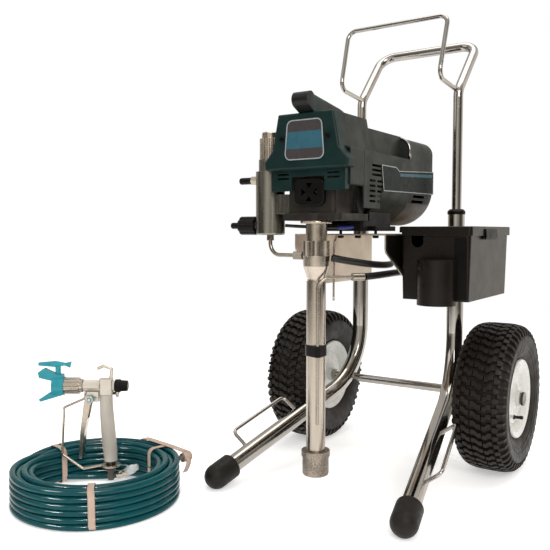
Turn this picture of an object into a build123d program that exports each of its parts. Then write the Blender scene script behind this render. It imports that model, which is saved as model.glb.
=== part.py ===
from build123d import *
from math import cos, radians, sin
import os

# Airless paint sprayer on a two-wheeled cart, with its spray gun and coiled hose.
# Millimetres. Places are written in the cart's own frame: x to the right, y to the
# rear, z up, with the zero on the floor under the middle of the axle.

# The row's origin is the middle of the whole outfit's footprint, so every place
# is moved by this much on its way into the row.
cart_x = 123.4
cart_y = 317.7

# Driving dimensions: wheels and axle
wheel_radius = 165.0
wheel_x = 237.0
tyre_half_width = 58.0
tyre_wall = 8.0
rim_radius = 88.0
rim_half_width = 46.0
axle_radius = 10.0
axle_half_length = 292.0
cap_end = wheel_x + tyre_half_width

# Driving dimensions: rails and pull handle
rail_x = 124.3
rail_y = 26.0
rail_radius = 19.0
rail_wall = 2.0
rail_top = 575.0
rail_bend = 160.0
knee_z = 179.0
foot_x = 210.0
foot_y = -456.0
foot_z = 25.0
foot_radius = 26.0
handle_radius = 11.0
rack_radius = 5.0

# Driving dimensions: power unit and pump
bracket_top = 530.0
sheet = 3.0
bracket_half = rail_x - rail_radius - 0.1
bracket_front = -318.0
bracket_rear = 44.0
pump_y = -407.0
motor_z = 646.0
stator_radius = 73.0
shell = 3.0
motor_front = -300.0
crank_z = 691.0
crank_throw = 16.0
gear_radius = 36.0
pinion_radius = crank_z - motor_z - gear_radius
rod_radius = 9.0
siphon_radius = 18.75
filter_x = -113.0
filter_y = -399.0
filter_radius = 29.4

# Driving dimensions: covers
body_half = 83.0
belly_z = 632.0
ledge_z = 690.0
spine_z = 740.0
hood_z = 757.0
hood_front = -425.0
hood_rear = -316.0
cheek_front = -370.0
cheek_low = 580.0
skirt_low = 621.0
trim_y = -148.0

# Driving dimensions: toolbox, hose and gun
box_left = 116.0
box_right = 258.0
box_front = -273.0
box_rear = -22.0
box_bottom = 400.0
box_top = 533.0
coil_x = -375.0
coil_y = -634.0
coil_outer = 167.4
coil_inner = 119.4
coil_height = 77.0
gun_x = -407.0
gun_y = -577.0
gun_heading = 214.0
barrel_z = 214.0

# Clearances: sliding or turning fit, and the gap between fixed neighbours
running = 0.05
gap = 0.1


def at(x, y, z):
    """A point of the cart's frame, as a point of the row."""
    return Vector(x + cart_x, y + cart_y, z)


def level(z, x=0, y=0):
    """A horizontal plane at height z, centred over (x, y)."""
    return Plane(origin=at(x, y, z))


def front(y):
    """An upright plane across the cart: local (x, z), normal to the front."""
    return Plane(origin=at(0, y, 0), x_dir=(1, 0, 0), z_dir=(0, -1, 0))


def side(x):
    """An upright plane along the cart: local (y, z), normal to the right."""
    return Plane(origin=at(x, 0, 0), x_dir=(0, 1, 0), z_dir=(1, 0, 0))


def bent_tube(points, bend_radius, outer, inner=0.0):
    """A round bar or tube along straight runs joined by bends."""
    with BuildPart() as tube:
        with BuildLine() as path:
            FilletPolyline(*points, radius=bend_radius)
        with BuildSketch(Plane(origin=path.line @ 0, z_dir=path.line % 0)):
            Circle(outer)
            if inner > 0:
                Circle(inner, mode=Mode.SUBTRACT)
        sweep()
    return tube.part


def symmetric(*right):
    """A closed outline from its right half, listed from top to bottom."""
    return [*right, *[(-x, z) for x, z in reversed(right)]]


def across_cart(outline, rear, ahead, corner=0.0):
    """A solid with an upright (x, z) outline, running forward from one y to another."""
    with BuildPart() as block:
        with BuildSketch(front(rear)) as section:
            with BuildLine():
                Polyline(*outline, close=True)
            make_face()
            if corner > 0:
                fillet(section.vertices(), corner)
        extrude(amount=rear - ahead)
    return block.part


def save(part, name):
    """Label a finished piece and write its STEP file."""
    part.label = name
    export_step(part, f"parts/{name}.step")


os.makedirs("parts", exist_ok=True)


# ---------------------------------------------------------------- cart frame

hook_start = 0.47
hook_end = 0.80
hook_out = 48.0
hook_up = 36.0
hook_radius = 4.0


def leg_line(hand):
    """The knee, the foot and the direction of one leg."""
    knee = at(hand * rail_x, rail_y, knee_z)
    foot = at(hand * foot_x, foot_y, foot_z)
    return knee, foot, (foot - knee).normalized()


def leg_hook(hand):
    """The hose hook welded on top of one leg."""
    knee, foot, _ = leg_line(hand)
    stand = Vector(hand * hook_out, 0, hook_up)
    surface = stand.normalized() * (rail_radius - 1)
    first = knee + (foot - knee) * hook_start
    last = knee + (foot - knee) * hook_end
    points = [first + surface, first + stand, last + stand, last + surface]
    return bent_tube(points, 12, hook_radius)


def rail(hand):
    """One bent rail, with its hose hook, coped to sit on the axle."""
    knee, foot, leg = leg_line(hand)
    top = at(hand * rail_x, rail_y, rail_top)
    with BuildPart() as tube:
        add(bent_tube([top, knee, foot - leg * 3], rail_bend, rail_radius, rail_radius - rail_wall))
        add(leg_hook(hand))
        with Locations(at(0, 0, wheel_radius)):
            Cylinder(axle_radius + running, 600, rotation=(0, 90, 0), mode=Mode.SUBTRACT)
    return tube.part


def foot_cap(hand):
    """One rounded rubber cap, flat where it rests on the floor."""
    _, foot, leg = leg_line(hand)
    up_the_leg = Plane(origin=foot, z_dir=leg * -1)
    cap_length = 46
    with BuildPart() as cap:
        with BuildSketch(up_the_leg):
            Circle(foot_radius)
        extrude(amount=cap_length)
        fillet(cap.edges().sort_by(Axis(foot, leg * -1))[-1], 5)
        with Locations(foot):
            Sphere(foot_radius)
        with BuildSketch(up_the_leg):
            Circle(rail_radius + gap)
        extrude(amount=cap_length, mode=Mode.SUBTRACT)
        split(bisect_by=Plane.XY, keep=Keep.TOP)
    return cap.part


save(rail(-1), "left_rail")
save(rail(1), "right_rail")

with BuildPart() as foot_caps:
    for hand in (-1, 1):
        add(foot_cap(hand))
save(foot_caps.part, "foot_caps")

hub_half = 50.0
spacer_radius = 14.0
spacer_length = 12.0
spacer_x = wheel_x - hub_half - spacer_length / 2 - 0.5
with BuildPart() as axle:
    with Locations(at(0, 0, wheel_radius)):
        Cylinder(axle_radius, 2 * axle_half_length, rotation=(0, 90, 0))
    for hand in (-1, 1):
        with Locations(at(hand * spacer_x, 0, wheel_radius)):
            Cylinder(spacer_radius, spacer_length, rotation=(0, 90, 0))
save(axle.part, "axle")

cap_thickness = 5.6
cap_radius = 15.0
with BuildPart() as axle_caps:
    for hand in (-1, 1):
        with Locations(at(hand * (cap_end - cap_thickness / 2), 0, wheel_radius)):
            Cylinder(cap_radius, cap_thickness, rotation=(0, 90, 0))
    with Locations(at(0, 0, wheel_radius)):
        Cylinder(
            axle_radius + gap, 2 * (axle_half_length + gap), rotation=(0, 90, 0), mode=Mode.SUBTRACT
        )
save(axle_caps.part, "axle_caps")

collar_height = 12.0
collar_radius = 20.5
collar_bevel = 5.0
plug_depth = 25.0
with BuildPart() as rail_collars:
    for hand in (-1, 1):
        with BuildSketch(level(rail_top + gap, hand * rail_x, rail_y)):
            Circle(collar_radius)
        extrude(amount=collar_height)
        with BuildSketch(level(rail_top - plug_depth, hand * rail_x, rail_y)):
            Circle(rail_radius - rail_wall - gap)
        extrude(amount=plug_depth + 1)
    chamfer(rail_collars.edges().filter_by(GeomType.CIRCLE).group_by(Axis.Z)[-1], collar_bevel)
    for hand in (-1, 1):
        with BuildSketch(level(rail_top - plug_depth, hand * rail_x, rail_y)):
            Circle(handle_radius + running)
        extrude(amount=60, mode=Mode.SUBTRACT)
save(rail_collars.part, "rail_collars")


def wheel_plane(hand):
    """The upright plane through one wheel's middle: local (across, up)."""
    return Plane(origin=at(hand * wheel_x, 0, wheel_radius), x_dir=(1, 0, 0), z_dir=(0, -1, 0))


def wheel_tyre(hand):
    """One pneumatic tyre: tread, side walls and beads."""
    bead = 41.8
    tread = wheel_radius
    with BuildPart() as tyre:
        with BuildSketch(wheel_plane(hand)):
            with BuildLine():
                lip = Line((-bead, 78), (-bead, rim_radius + 1))
                wall = ThreePointArc(lip @ 1, (-tyre_half_width, 126), (-46, 157))
                TangentArc((-31, tread), wall @ 1, tangent=(-1, 0))
                crown = Line((-31, tread), (0, tread))
                Line(crown @ 1, (0, tread - tyre_wall))
                under = Line((0, tread - tyre_wall), (-36, tread - tyre_wall - 3))
                inside = ThreePointArc(under @ 1, (-tyre_half_width + tyre_wall, 122), (-34, 84))
                toe = Line(inside @ 1, (-34, 78))
                Line(toe @ 1, lip @ 0)
            make_face()
            mirror(about=Plane.YZ)
        revolve(axis=Axis(at(hand * wheel_x, 0, wheel_radius), (1, 0, 0)))
    return tyre.part


def wheel_rim(hand):
    """One rim of two pressed discs on a barrel, with a hub tube through it."""
    barrel = 77.5
    disc = 36.0
    hub = 17.0
    hub_bore = axle_radius + running
    valve_radius = 5.5
    valve_low = 44.0
    with BuildPart() as rim:
        with BuildSketch(wheel_plane(hand)):
            with BuildLine():
                Polyline(
                    (0, barrel), (-42, barrel), (-42.3, rim_radius - 3), (-46, rim_radius),
                    (-49, rim_radius - 2), (-rim_half_width, barrel - 3), (-disc - 4, 62), (-disc, 56),
                    (-disc, 32), (-disc - 6, hub), (-hub_half, hub), (-hub_half, hub_bore), (0, hub_bore),
                    (0, hub), (-disc + 1, hub), (-disc + 3, 32), (-disc + 3, 55), (-disc - 1, 61),
                    (-41, barrel - 3), (0, barrel - 3), close=True,
                )
            make_face()
            mirror(about=Plane.YZ)
        revolve(axis=Axis(at(hand * wheel_x, 0, wheel_radius), (1, 0, 0)))
        # the tyre's valve comes out through a small hole
        with Locations(at(hand * (wheel_x + disc), 0, wheel_radius - valve_low)):
            Cylinder(valve_radius, 12, rotation=(0, 90, 0), mode=Mode.SUBTRACT)
    return rim.part


for hand, name in ((-1, "left"), (1, "right")):
    save(wheel_tyre(hand), f"{name}_tyre")
    save(wheel_rim(hand), f"{name}_rim")

# ---------------------------------------------------------------- pull handle

handle_foot = 470.0
elbow_z = 861.0
grip_y = 148.0
grip_z = 991.0
rack_front = -90.0
rack_top_y = -45.0
rack_top_z = 1016.0
with BuildPart() as pull_handle:
    add(
        bent_tube(
            [
                at(-rail_x, rail_y, handle_foot),
                at(-rail_x, rail_y, elbow_z),
                at(-rail_x - 2, grip_y, grip_z),
                at(rail_x + 2, grip_y, grip_z),
                at(rail_x, rail_y, elbow_z),
                at(rail_x, rail_y, handle_foot),
            ],
            38,
            handle_radius,
            handle_radius - 2,
        )
    )
    add(
        bent_tube(
            [
                at(-rail_x + 3, rail_y - 7, elbow_z + 2),
                at(-rail_x + 3, rack_front, elbow_z + 12),
                at(-rail_x, rack_top_y, rack_top_z),
                at(rail_x, rack_top_y, rack_top_z),
                at(rail_x - 3, rack_front, elbow_z + 12),
                at(rail_x - 3, rail_y - 7, elbow_z + 2),
            ],
            20,
            rack_radius,
        )
    )
save(pull_handle.part, "pull_handle")

# ---------------------------------------------------------------- brackets and bolts

bolt_y = -285.0
bolt_places = [(7 + step, bolt_y) for step in (-60, -20, 20, 60)]
post_y = -310.0
post_x = 38.0
plate_bottom = 417.0
plate_outline = [
    (bracket_front, bracket_top), (bracket_rear, bracket_top), (bracket_rear, plate_bottom),
    (-190, plate_bottom), (bracket_front, 495),
]
with BuildPart() as pump_bracket:
    with BuildSketch(side(-bracket_half)):
        with BuildLine():
            Polyline(*plate_outline, close=True)
        make_face()
    extrude(amount=2 * bracket_half)
    with Locations(at(0, (bracket_front + bracket_rear) / 2, bracket_top - sheet - 100)):
        Box(2 * (bracket_half - sheet), 400, 200, mode=Mode.SUBTRACT)
    corner = pump_bracket.edges().filter_by(Axis.X).group_by(Axis.Y)[0].group_by(Axis.Z)[0]
    fillet(corner, 12)
    with BuildSketch(level(bracket_top - sheet)):
        with Locations(*bolt_places):
            Circle(3 + gap)
    extrude(amount=sheet, mode=Mode.SUBTRACT)
save(pump_bracket.part, "pump_bracket")

toolbox_plate = bracket_half + gap
with BuildPart() as toolbox_bracket:
    with BuildSketch(side(toolbox_plate)):
        with BuildLine():
            Polyline(
                (bracket_front, 527), (-60, 527), (-60, 424), (-196, 424), (bracket_front, 497), close=True
            )
        make_face()
    extrude(amount=sheet)
    with BuildSketch(side(toolbox_plate + sheet)):
        with Locations((-150, 500)):
            RectangleRounded(110, 40, 6)
    extrude(amount=box_left - toolbox_plate - sheet - gap)
save(toolbox_bracket.part, "toolbox_bracket")

head_height = 5.5
box_base = 536.0
with BuildPart() as bracket_bolts:
    with BuildSketch(level(bracket_top - sheet - gap)):
        with Locations(*bolt_places):
            Circle(6.5)
    extrude(amount=-head_height)
    chamfer(bracket_bolts.edges().group_by(Axis.Z)[0], 1.5)
    with BuildSketch(level(bracket_top - sheet - gap)):
        with Locations(*bolt_places):
            Circle(3)
    extrude(amount=sheet + 10)
save(bracket_bolts.part, "bracket_bolts")

# ---------------------------------------------------------------- motor

def belly(half, top, rear, ahead):
    """A solid with flat sides and a round underside, running forward from one y to another."""
    with BuildPart() as block:
        with BuildSketch(front(rear)):
            with Locations((0, (belly_z + top) / 2)):
                Rectangle(2 * half, top - belly_z)
            with Locations((0, belly_z)):
                Circle(half)
        extrude(amount=rear - ahead)
    return block.part


slot_height = 4.5
with BuildPart() as motor_cover:
    hood_outline = symmetric((60, hood_z), (72, ledge_z + 4), (body_half, ledge_z), (body_half, skirt_low))
    add(across_cart(hood_outline, hood_rear, hood_front, 3))
    cheeks = symmetric((body_half, ledge_z), (body_half, cheek_low))
    add(across_cart(cheeks, motor_front, cheek_front))
    add(across_cart(symmetric((60, spine_z), (64, ledge_z - 1)), trim_y, hood_rear - 1))
    add(belly(body_half, ledge_z, trim_y, motor_front))
    # hollow all through, open at the front, at the rear and below the hood
    inner_half = body_half - shell
    hood_space = symmetric(
        (60 - shell, hood_z - shell), (72 - shell, ledge_z + 1),
        (inner_half, ledge_z - shell), (inner_half, cheek_low - 20),
    )
    add(across_cart(hood_space, hood_rear - shell, hood_front - 1), mode=Mode.SUBTRACT)
    cheek_space = symmetric((inner_half, ledge_z - shell), (inner_half, cheek_low - 20))
    add(across_cart(cheek_space, motor_front, cheek_front - 1), mode=Mode.SUBTRACT)
    spine_space = symmetric((60 - shell, spine_z - shell), (64 - shell, ledge_z - shell - 2))
    add(across_cart(spine_space, trim_y + 1, hood_rear - shell - 1), mode=Mode.SUBTRACT)
    add(belly(inner_half, ledge_z - shell, trim_y + 1, motor_front - 1), mode=Mode.SUBTRACT)
    # the seam between the side panel and the motor's own flank
    for hand in (-1, 1):
        with Locations(at(hand * body_half, cheek_front, (skirt_low + ledge_z) / 2)):
            Box(2, 1.6, ledge_z - skirt_low + 4, mode=Mode.SUBTRACT)
    # cooling slots on both flanks: three long ones over five rows of two
    for hand in (-1, 1):
        for row in range(3):
            with Locations(at(hand * body_half, -314, 664 - 9 * row)):
                Box(12, 44, slot_height, mode=Mode.SUBTRACT)
        for row in range(5):
            for slot_y in (-333, -299):
                with Locations(at(hand * body_half, slot_y, 634 - 10 * row)):
                    Box(12, 26, slot_height, mode=Mode.SUBTRACT)
save(motor_cover.part, "motor_cover")

cap_tail = -5.0
cap_top = 738.0
cap_corner = 28.0


def cap_block(half, top, corner, rear, ahead, rounding):
    """The rear cap's solid: a rounded top, a round underside and a rounded rear."""
    with BuildPart() as block:
        with BuildSketch(front(rear)):
            with BuildLine():
                turn = half - corner
                right = Line((half, belly_z), (half, top - corner))
                shoulder = TangentArc(right @ 1, (turn, top), tangent=right % 1)
                across = Line(shoulder @ 1, (-turn, top))
                far_shoulder = TangentArc(across @ 1, (-half, top - corner), tangent=across % 1)
                left = Line(far_shoulder @ 1, (-half, belly_z))
                ThreePointArc(left @ 1, (0, belly_z - half), right @ 0)
            make_face()
        extrude(amount=rear - ahead)
        fillet(block.faces().sort_by(Axis.Y)[-1].edges(), rounding)
    return block.part


with BuildPart() as rear_cap:
    add(cap_block(body_half, cap_top, cap_corner, cap_tail, trim_y + gap, 22))
    add(
        cap_block(
            body_half - shell, cap_top - shell, cap_corner - shell, cap_tail - shell, trim_y - 1, 22 - shell
        ),
        mode=Mode.SUBTRACT,
    )
    # air outlets low on the flanks
    for hand in (-1, 1):
        for row in range(2):
            with Locations(at(hand * (body_half - 3), -96, 612 - 11 * row)):
                Box(24, 64, 6, mode=Mode.SUBTRACT)
save(rear_cap.part, "rear_cap")

stator_front = -250.0
stator_length = 100.0
bore = 46.0
with BuildPart() as stator:
    with BuildSketch(front(stator_front + stator_length)):
        with Locations((0, motor_z)):
            Circle(stator_radius)
            Circle(bore, mode=Mode.SUBTRACT)
    extrude(amount=stator_length)
save(stator.part, "stator")

shaft_radius = 8.0
wall_front = -330.0
pinion_length = 14.0
fan_y = -104.0
fan_radius = 70.0
rotor_rear = -92.0
with BuildPart() as rotor:
    with BuildSketch(front(rotor_rear)):
        with Locations((0, motor_z)):
            Circle(shaft_radius)
    extrude(amount=rotor_rear - wall_front + pinion_length + 1)
    with BuildSketch(front(stator_front + stator_length - 3)):
        with Locations((0, motor_z)):
            Circle(bore - 1)
    extrude(amount=stator_length - 6)
    with BuildSketch(front(wall_front - 1)):
        with Locations((0, motor_z)):
            Circle(pinion_radius - 0.1)
    extrude(amount=pinion_length)
    with BuildSketch(front(fan_y)):
        with Locations((0, motor_z)):
            Circle(fan_radius)
    extrude(amount=4)
    with BuildSketch(front(fan_y - 4)):
        with Locations((0, motor_z)):
            with PolarLocations(50, 9):
                Rectangle(34, 3, rotation=20)
    extrude(amount=14)
save(rotor.part, "rotor")

# ---------------------------------------------------------------- drive

housing_half = 52.0
housing_front = -428.0
housing_top = 736.0
housing_base = 556.0
cavity_front = -422.0
with BuildPart() as gear_housing:
    with Locations(at(0, (housing_front + motor_front) / 2, (housing_base + housing_top) / 2)):
        Box(2 * housing_half, motor_front - housing_front, housing_top - housing_base)
    fillet(gear_housing.edges().filter_by(Axis.Z), 8)
    with BuildSketch(front(motor_front)):
        with Locations((0, motor_z)):
            Circle(stator_radius)
    extrude(amount=14)
    with BuildSketch(level(housing_base)):
        with Locations((0, pump_y)):
            Circle(30)
        with Locations((-post_x, post_y), (post_x, post_y)):
            Circle(8.5)
        with Locations((0, -368)):
            RectangleRounded(128, 128, 12)
    extrude(amount=14)
    with BuildSketch(level(bracket_top + gap)):
        with Locations((-post_x, post_y), (post_x, post_y)):
            Circle(6)
    extrude(amount=housing_base - bracket_top)
    # a gusset stands on the foot plate at each side
    for hand in (-1, 1):
        with BuildSketch(front(-344)):
            with BuildLine():
                Polyline((hand * 51, 569), (hand * 63.5, 569), (hand * 51, 616), close=True)
            make_face()
        extrude(amount=6)
    # gear chamber
    with Locations(at(0, (cavity_front + wall_front) / 2, 656)):
        Box(86, wall_front - cavity_front, 152, mode=Mode.SUBTRACT)
    # bores for the pump, the motor shaft and the crankshaft, and the front window
    with Locations(at(0, pump_y, housing_base + 12)):
        Cylinder(20.5 + gap, 40, mode=Mode.SUBTRACT)
    with Locations(at(0, -315, motor_z)):
        Cylinder(shaft_radius + running, 60, rotation=(90, 0, 0), mode=Mode.SUBTRACT)
    with Locations(at(0, wall_front + 2, crank_z)):
        Cylinder(10 + running, 24, rotation=(90, 0, 0), mode=Mode.SUBTRACT)
    with Locations(at(0, housing_front, 608)):
        Box(44, 20, 40, mode=Mode.SUBTRACT)
save(gear_housing.part, "gear_housing")

with BuildPart() as drive_gear:
    with BuildSketch(front(wall_front - 3)):
        with Locations((0, crank_z)):
            Circle(gear_radius - 0.1)
            Circle(10 + gap, mode=Mode.SUBTRACT)
            with PolarLocations(22, 6):
                Circle(6, mode=Mode.SUBTRACT)
    extrude(amount=12)
save(drive_gear.part, "drive_gear")

web_back = -358.0
pin_z = crank_z - crank_throw
with BuildPart() as crankshaft:
    with BuildSketch(front(wall_front + 12)):
        with Locations((0, crank_z)):
            Circle(10)
    extrude(amount=wall_front + 12 - web_back)
    with BuildSketch(front(web_back)):
        with Locations((0, crank_z)):
            Circle(26)
    extrude(amount=12)
    with BuildSketch(front(web_back - 12)):
        with Locations((0, pin_z)):
            Circle(6)
    extrude(amount=25)
save(crankshaft.part, "crankshaft")

eye_z = 606.0
link_back = -379.0
with BuildPart() as connecting_rod:
    with BuildSketch(front(link_back)):
        with Locations((0, pin_z)):
            Circle(12)
        with Locations((0, eye_z)):
            Circle(10)
        with Locations((0, (pin_z + eye_z) / 2)):
            Rectangle(12, pin_z - eye_z)
        with Locations((0, pin_z)):
            Circle(6 + running, mode=Mode.SUBTRACT)
        with Locations((0, eye_z)):
            Circle(4, mode=Mode.SUBTRACT)
    extrude(amount=12)
save(connecting_rod.part, "connecting_rod")

# ---------------------------------------------------------------- pump

rod_top = 614.0
piston_low = 466.0
piston_high = 484.0
chamber = 13.0
with BuildPart() as piston_rod:
    with Locations(at(0, pump_y, (piston_low + rod_top) / 2)):
        Cylinder(rod_radius, rod_top - piston_low)
    with Locations(at(0, pump_y, (piston_low + piston_high) / 2)):
        Cylinder(chamber - running, piston_high - piston_low)
    with Locations(at(0, pump_y + 3, rod_top - 12)):
        Box(24, 22, 24)
    with Locations(at(0, pump_y, piston_low + 13)):
        Cylinder(6, 14, mode=Mode.SUBTRACT)
    with Locations(at(0, pump_y, piston_low + 4)):
        Cylinder(4, 12, mode=Mode.SUBTRACT)
save(piston_rod.part, "piston_rod")

with BuildPart() as outlet_ball:
    with Locations(at(0, pump_y, piston_low + 9.05)):
        Sphere(5)
save(outlet_ball.part, "outlet_ball")

floor_z = 447.0
with BuildPart() as inlet_ball:
    with Locations(at(0, pump_y, floor_z + 5.35)):
        Sphere(8)
save(inlet_ball.part, "inlet_ball")

pump_top = 572.0
rib_low = 488.0
rib_high = 517.0
pump_low = 439.0
with BuildPart() as pump_body:
    with BuildSketch(front(pump_y)):
        with BuildLine():
            Polyline(
                (0, pump_low), (17, pump_low), (17, pump_low + 4), (25, 468), (26, rib_low), (22, rib_low),
                (22, rib_high), (20.5, rib_high), (20.5, pump_top), (0, pump_top), close=True,
            )
        make_face()
    revolve(axis=Axis(at(0, pump_y, 0), (0, 0, 1)))
    with BuildSketch(level(rib_low, 0, pump_y)):
        with PolarLocations(21, 6):
            Circle(7.5)
    extrude(amount=rib_high - rib_low)
    with Locations(at(0, pump_y, (floor_z + 524) / 2)):
        Cylinder(chamber, 524 - floor_z, mode=Mode.SUBTRACT)
    with Locations(at(0, pump_y, 550)):
        Cylinder(15, 52, mode=Mode.SUBTRACT)
    with Locations(at(0, pump_y, pump_low)):
        Cylinder(6, 30, mode=Mode.SUBTRACT)
save(pump_body.part, "pump_body")

with BuildPart() as rod_packings:
    with BuildSketch(level(524.2, 0, pump_y)):
        Circle(15 - gap)
        Circle(rod_radius + running, mode=Mode.SUBTRACT)
    extrude(amount=30)
save(rod_packings.part, "rod_packings")

tube_low = 102.0
with BuildPart() as siphon_tube:
    with BuildSketch(level(tube_low, 0, pump_y)):
        Circle(siphon_radius)
        Circle(siphon_radius - 1.5, mode=Mode.SUBTRACT)
    extrude(amount=pump_low - gap - tube_low)
save(siphon_tube.part, "siphon_tube")

strainer_low = 57.0
with BuildPart() as inlet_strainer:
    with BuildSketch(level(strainer_low, 0, pump_y)):
        Circle(26)
    extrude(amount=38)
    fillet(inlet_strainer.edges().group_by(Axis.Z)[0], 4)
    with BuildSketch(level(95, 0, pump_y)):
        Circle(28)
    extrude(amount=11)
    with BuildSketch(level(tube_low - gap, 0, pump_y)):
        Circle(siphon_radius + gap)
    extrude(amount=20, mode=Mode.SUBTRACT)
    with BuildSketch(level(strainer_low, 0, pump_y)):
        Circle(16)
    extrude(amount=60, mode=Mode.SUBTRACT)
save(inlet_strainer.part, "inlet_strainer")

pipe_x = 16.0
pipe_y = pump_y - 21.0
pipe_radius = 3.25
pipe_bore = 2.2
strap_low = 294.0
strap_high = 315.0
with BuildPart() as tube_strap:
    with BuildSketch(level(strap_low, 0, pump_y)):
        Circle(siphon_radius + 2.2)
        with Locations((pipe_x, pipe_y - pump_y)):
            Circle(pipe_radius + 3)
        make_hull()
        Circle(siphon_radius + gap, mode=Mode.SUBTRACT)
        with Locations((pipe_x, pipe_y - pump_y)):
            Circle(pipe_radius + gap, mode=Mode.SUBTRACT)
    extrude(amount=strap_high - strap_low)
save(tube_strap.part, "tube_strap")

return_z = 447.0
ferrule_start = at(pipe_x + 0.6 * 72, pipe_y + 0.8 * 72, return_z)
ferrule_end = at(pipe_x + 0.6 * 97, pipe_y + 0.8 * 97, return_z)
with BuildPart() as return_pipe:
    pipe_line = [at(pipe_x, pipe_y, 163), at(pipe_x, pipe_y, return_z), ferrule_start]
    add(bent_tube(pipe_line, 26, pipe_radius, pipe_bore))
    with BuildSketch(Plane(origin=ferrule_start, z_dir=ferrule_end - ferrule_start)):
        Circle(7.5)
        Circle(pipe_bore, mode=Mode.SUBTRACT)
    extrude(amount=25)
save(return_pipe.part, "return_pipe")

hose_radius = 7.0
with BuildPart() as drain_hoses:
    hose_start = ferrule_end + (ferrule_end - ferrule_start).normalized() * 2.5
    for points in (
        [hose_start, at(89, -296, 449), at(91, -215, 450), at(91, -120, 444)],
        [at(25.6, pump_y + 16, 484), at(78, -305, 469), at(76, -232, 467)],
    ):
        with BuildLine() as run:
            Spline(*points)
        with BuildSketch(Plane(origin=run.line @ 0, z_dir=run.line % 0)):
            Circle(hose_radius)
            Circle(hose_radius - 2.5, mode=Mode.SUBTRACT)
        sweep()
save(drain_hoses.part, "drain_hoses")

# ---------------------------------------------------------------- filter and outlet

filter_low = 528.0
filter_high = 655.0
outlet_z = 639.0
valve_z = 547.0
face_x = filter_x - filter_radius
with BuildPart() as filter_housing:
    with BuildSketch(level(filter_low, filter_x, filter_y)):
        Circle(filter_radius)
    extrude(amount=filter_high - filter_low)
    fillet(filter_housing.edges().group_by(Axis.Z)[0], 4)
    with BuildSketch(level(filter_high, filter_x, filter_y)):
        Circle(23.5)
    extrude(amount=24)
    with Locations(at((filter_x - housing_half) / 2 - gap / 2, filter_y, 589)):
        Box(abs(filter_x + housing_half) - gap, 30, 38)
    with BuildSketch(side(filter_x)):
        with Locations((filter_y, valve_z)):
            Circle(12)
    extrude(amount=-(filter_radius + 2))
    with BuildSketch(level(filter_low + 12, filter_x, filter_y)):
        Circle(20)
    extrude(amount=200, mode=Mode.SUBTRACT)
    with BuildSketch(side(filter_x)):
        with Locations((filter_y, outlet_z)):
            Circle(7 + gap)
        with Locations((filter_y, valve_z)):
            Circle(5 + running)
    extrude(amount=-60, mode=Mode.SUBTRACT)
save(filter_housing.part, "filter_housing")

with BuildPart() as filter_element:
    with BuildSketch(level(filter_low + 13, filter_x, filter_y)):
        Circle(13)
        Circle(10, mode=Mode.SUBTRACT)
    extrude(amount=130)
save(filter_element.part, "filter_element")

cap_low = filter_high + 24 + gap
with BuildPart() as filter_cap:
    with BuildSketch(level(cap_low, filter_x, filter_y)):
        Circle(21.5)
        with PolarLocations(21.5, 30):
            Circle(0.9, mode=Mode.SUBTRACT)
    extrude(amount=42)
    with BuildSketch(level(cap_low + 42, filter_x, filter_y)):
        Circle(17)
    extrude(amount=13)
    chamfer(filter_cap.edges().group_by(Axis.Z)[-1], 2)
    with BuildSketch(level(cap_low - 20, filter_x, filter_y)):
        Circle(20 - running)
        Circle(15, mode=Mode.SUBTRACT)
    extrude(amount=21)
save(filter_cap.part, "filter_cap")

hex_end = -157.0
outlet_end = -188.0
with BuildPart() as outlet_fitting:
    with BuildSketch(side(face_x - gap)):
        with Locations((filter_y, outlet_z)):
            RegularPolygon(9.5, 6)
    extrude(amount=-(face_x - gap - hex_end))
    with BuildSketch(side(face_x + 8)):
        with Locations((filter_y, outlet_z)):
            Circle(7)
    extrude(amount=-8.5)
    with BuildSketch(side(hex_end)):
        with Locations((filter_y, outlet_z)):
            Circle(5)
    extrude(amount=-22)
    with BuildSketch(side(face_x + 10)):
        with Locations((filter_y, outlet_z)):
            Circle(2.5)
    extrude(amount=-80, mode=Mode.SUBTRACT)
save(outlet_fitting.part, "outlet_fitting")

with BuildPart() as outlet_cap:
    with BuildSketch(side(hex_end - gap)):
        with Locations((filter_y, outlet_z)):
            Circle(7)
    extrude(amount=outlet_end - hex_end + gap)
    fillet(outlet_cap.edges().group_by(Axis.X)[0], 3)
    with BuildSketch(side(hex_end)):
        with Locations((filter_y, outlet_z)):
            Circle(5 + running)
    extrude(amount=-23, mode=Mode.SUBTRACT)
save(outlet_cap.part, "outlet_cap")

knob_back = face_x - 2.5
knob_front = -187.0
with BuildPart() as prime_knob:
    with BuildSketch(side(knob_back)):
        with Locations((filter_y, valve_z)):
            Circle(19.3)
            with PolarLocations(23, 8):
                Circle(5.5, mode=Mode.SUBTRACT)
    extrude(amount=knob_front - knob_back)
    chamfer(prime_knob.faces().sort_by(Axis.X)[0].edges(), 4)
    with BuildSketch(side(knob_front)):
        with Locations((filter_y, valve_z)):
            Circle(6.5)
    extrude(amount=-24)
    fillet(prime_knob.edges().group_by(Axis.X)[0], 2.5)
    with BuildSketch(side(knob_back)):
        with Locations((filter_y, valve_z)):
            Circle(5)
    extrude(amount=18)
save(prime_knob.part, "prime_knob")

pipe_drop = 488.0
fitting_end = -29.6
with BuildPart() as outlet_pipe:
    add(
        bent_tube(
            [
                at(filter_x, filter_y, filter_low - gap),
                at(filter_x, filter_y, pipe_drop),
                at(-48, pump_y, pipe_drop),
            ],
            24,
            4,
        )
    )
    with BuildSketch(level(filter_low - gap, filter_x, filter_y)):
        RegularPolygon(8, 6)
    extrude(amount=-11)
    with BuildSketch(side(-50)):
        with Locations((pump_y, pipe_drop)):
            RegularPolygon(9, 6)
    extrude(amount=fitting_end + 50)
save(outlet_pipe.part, "outlet_pipe")

# ---------------------------------------------------------------- front cover

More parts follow.
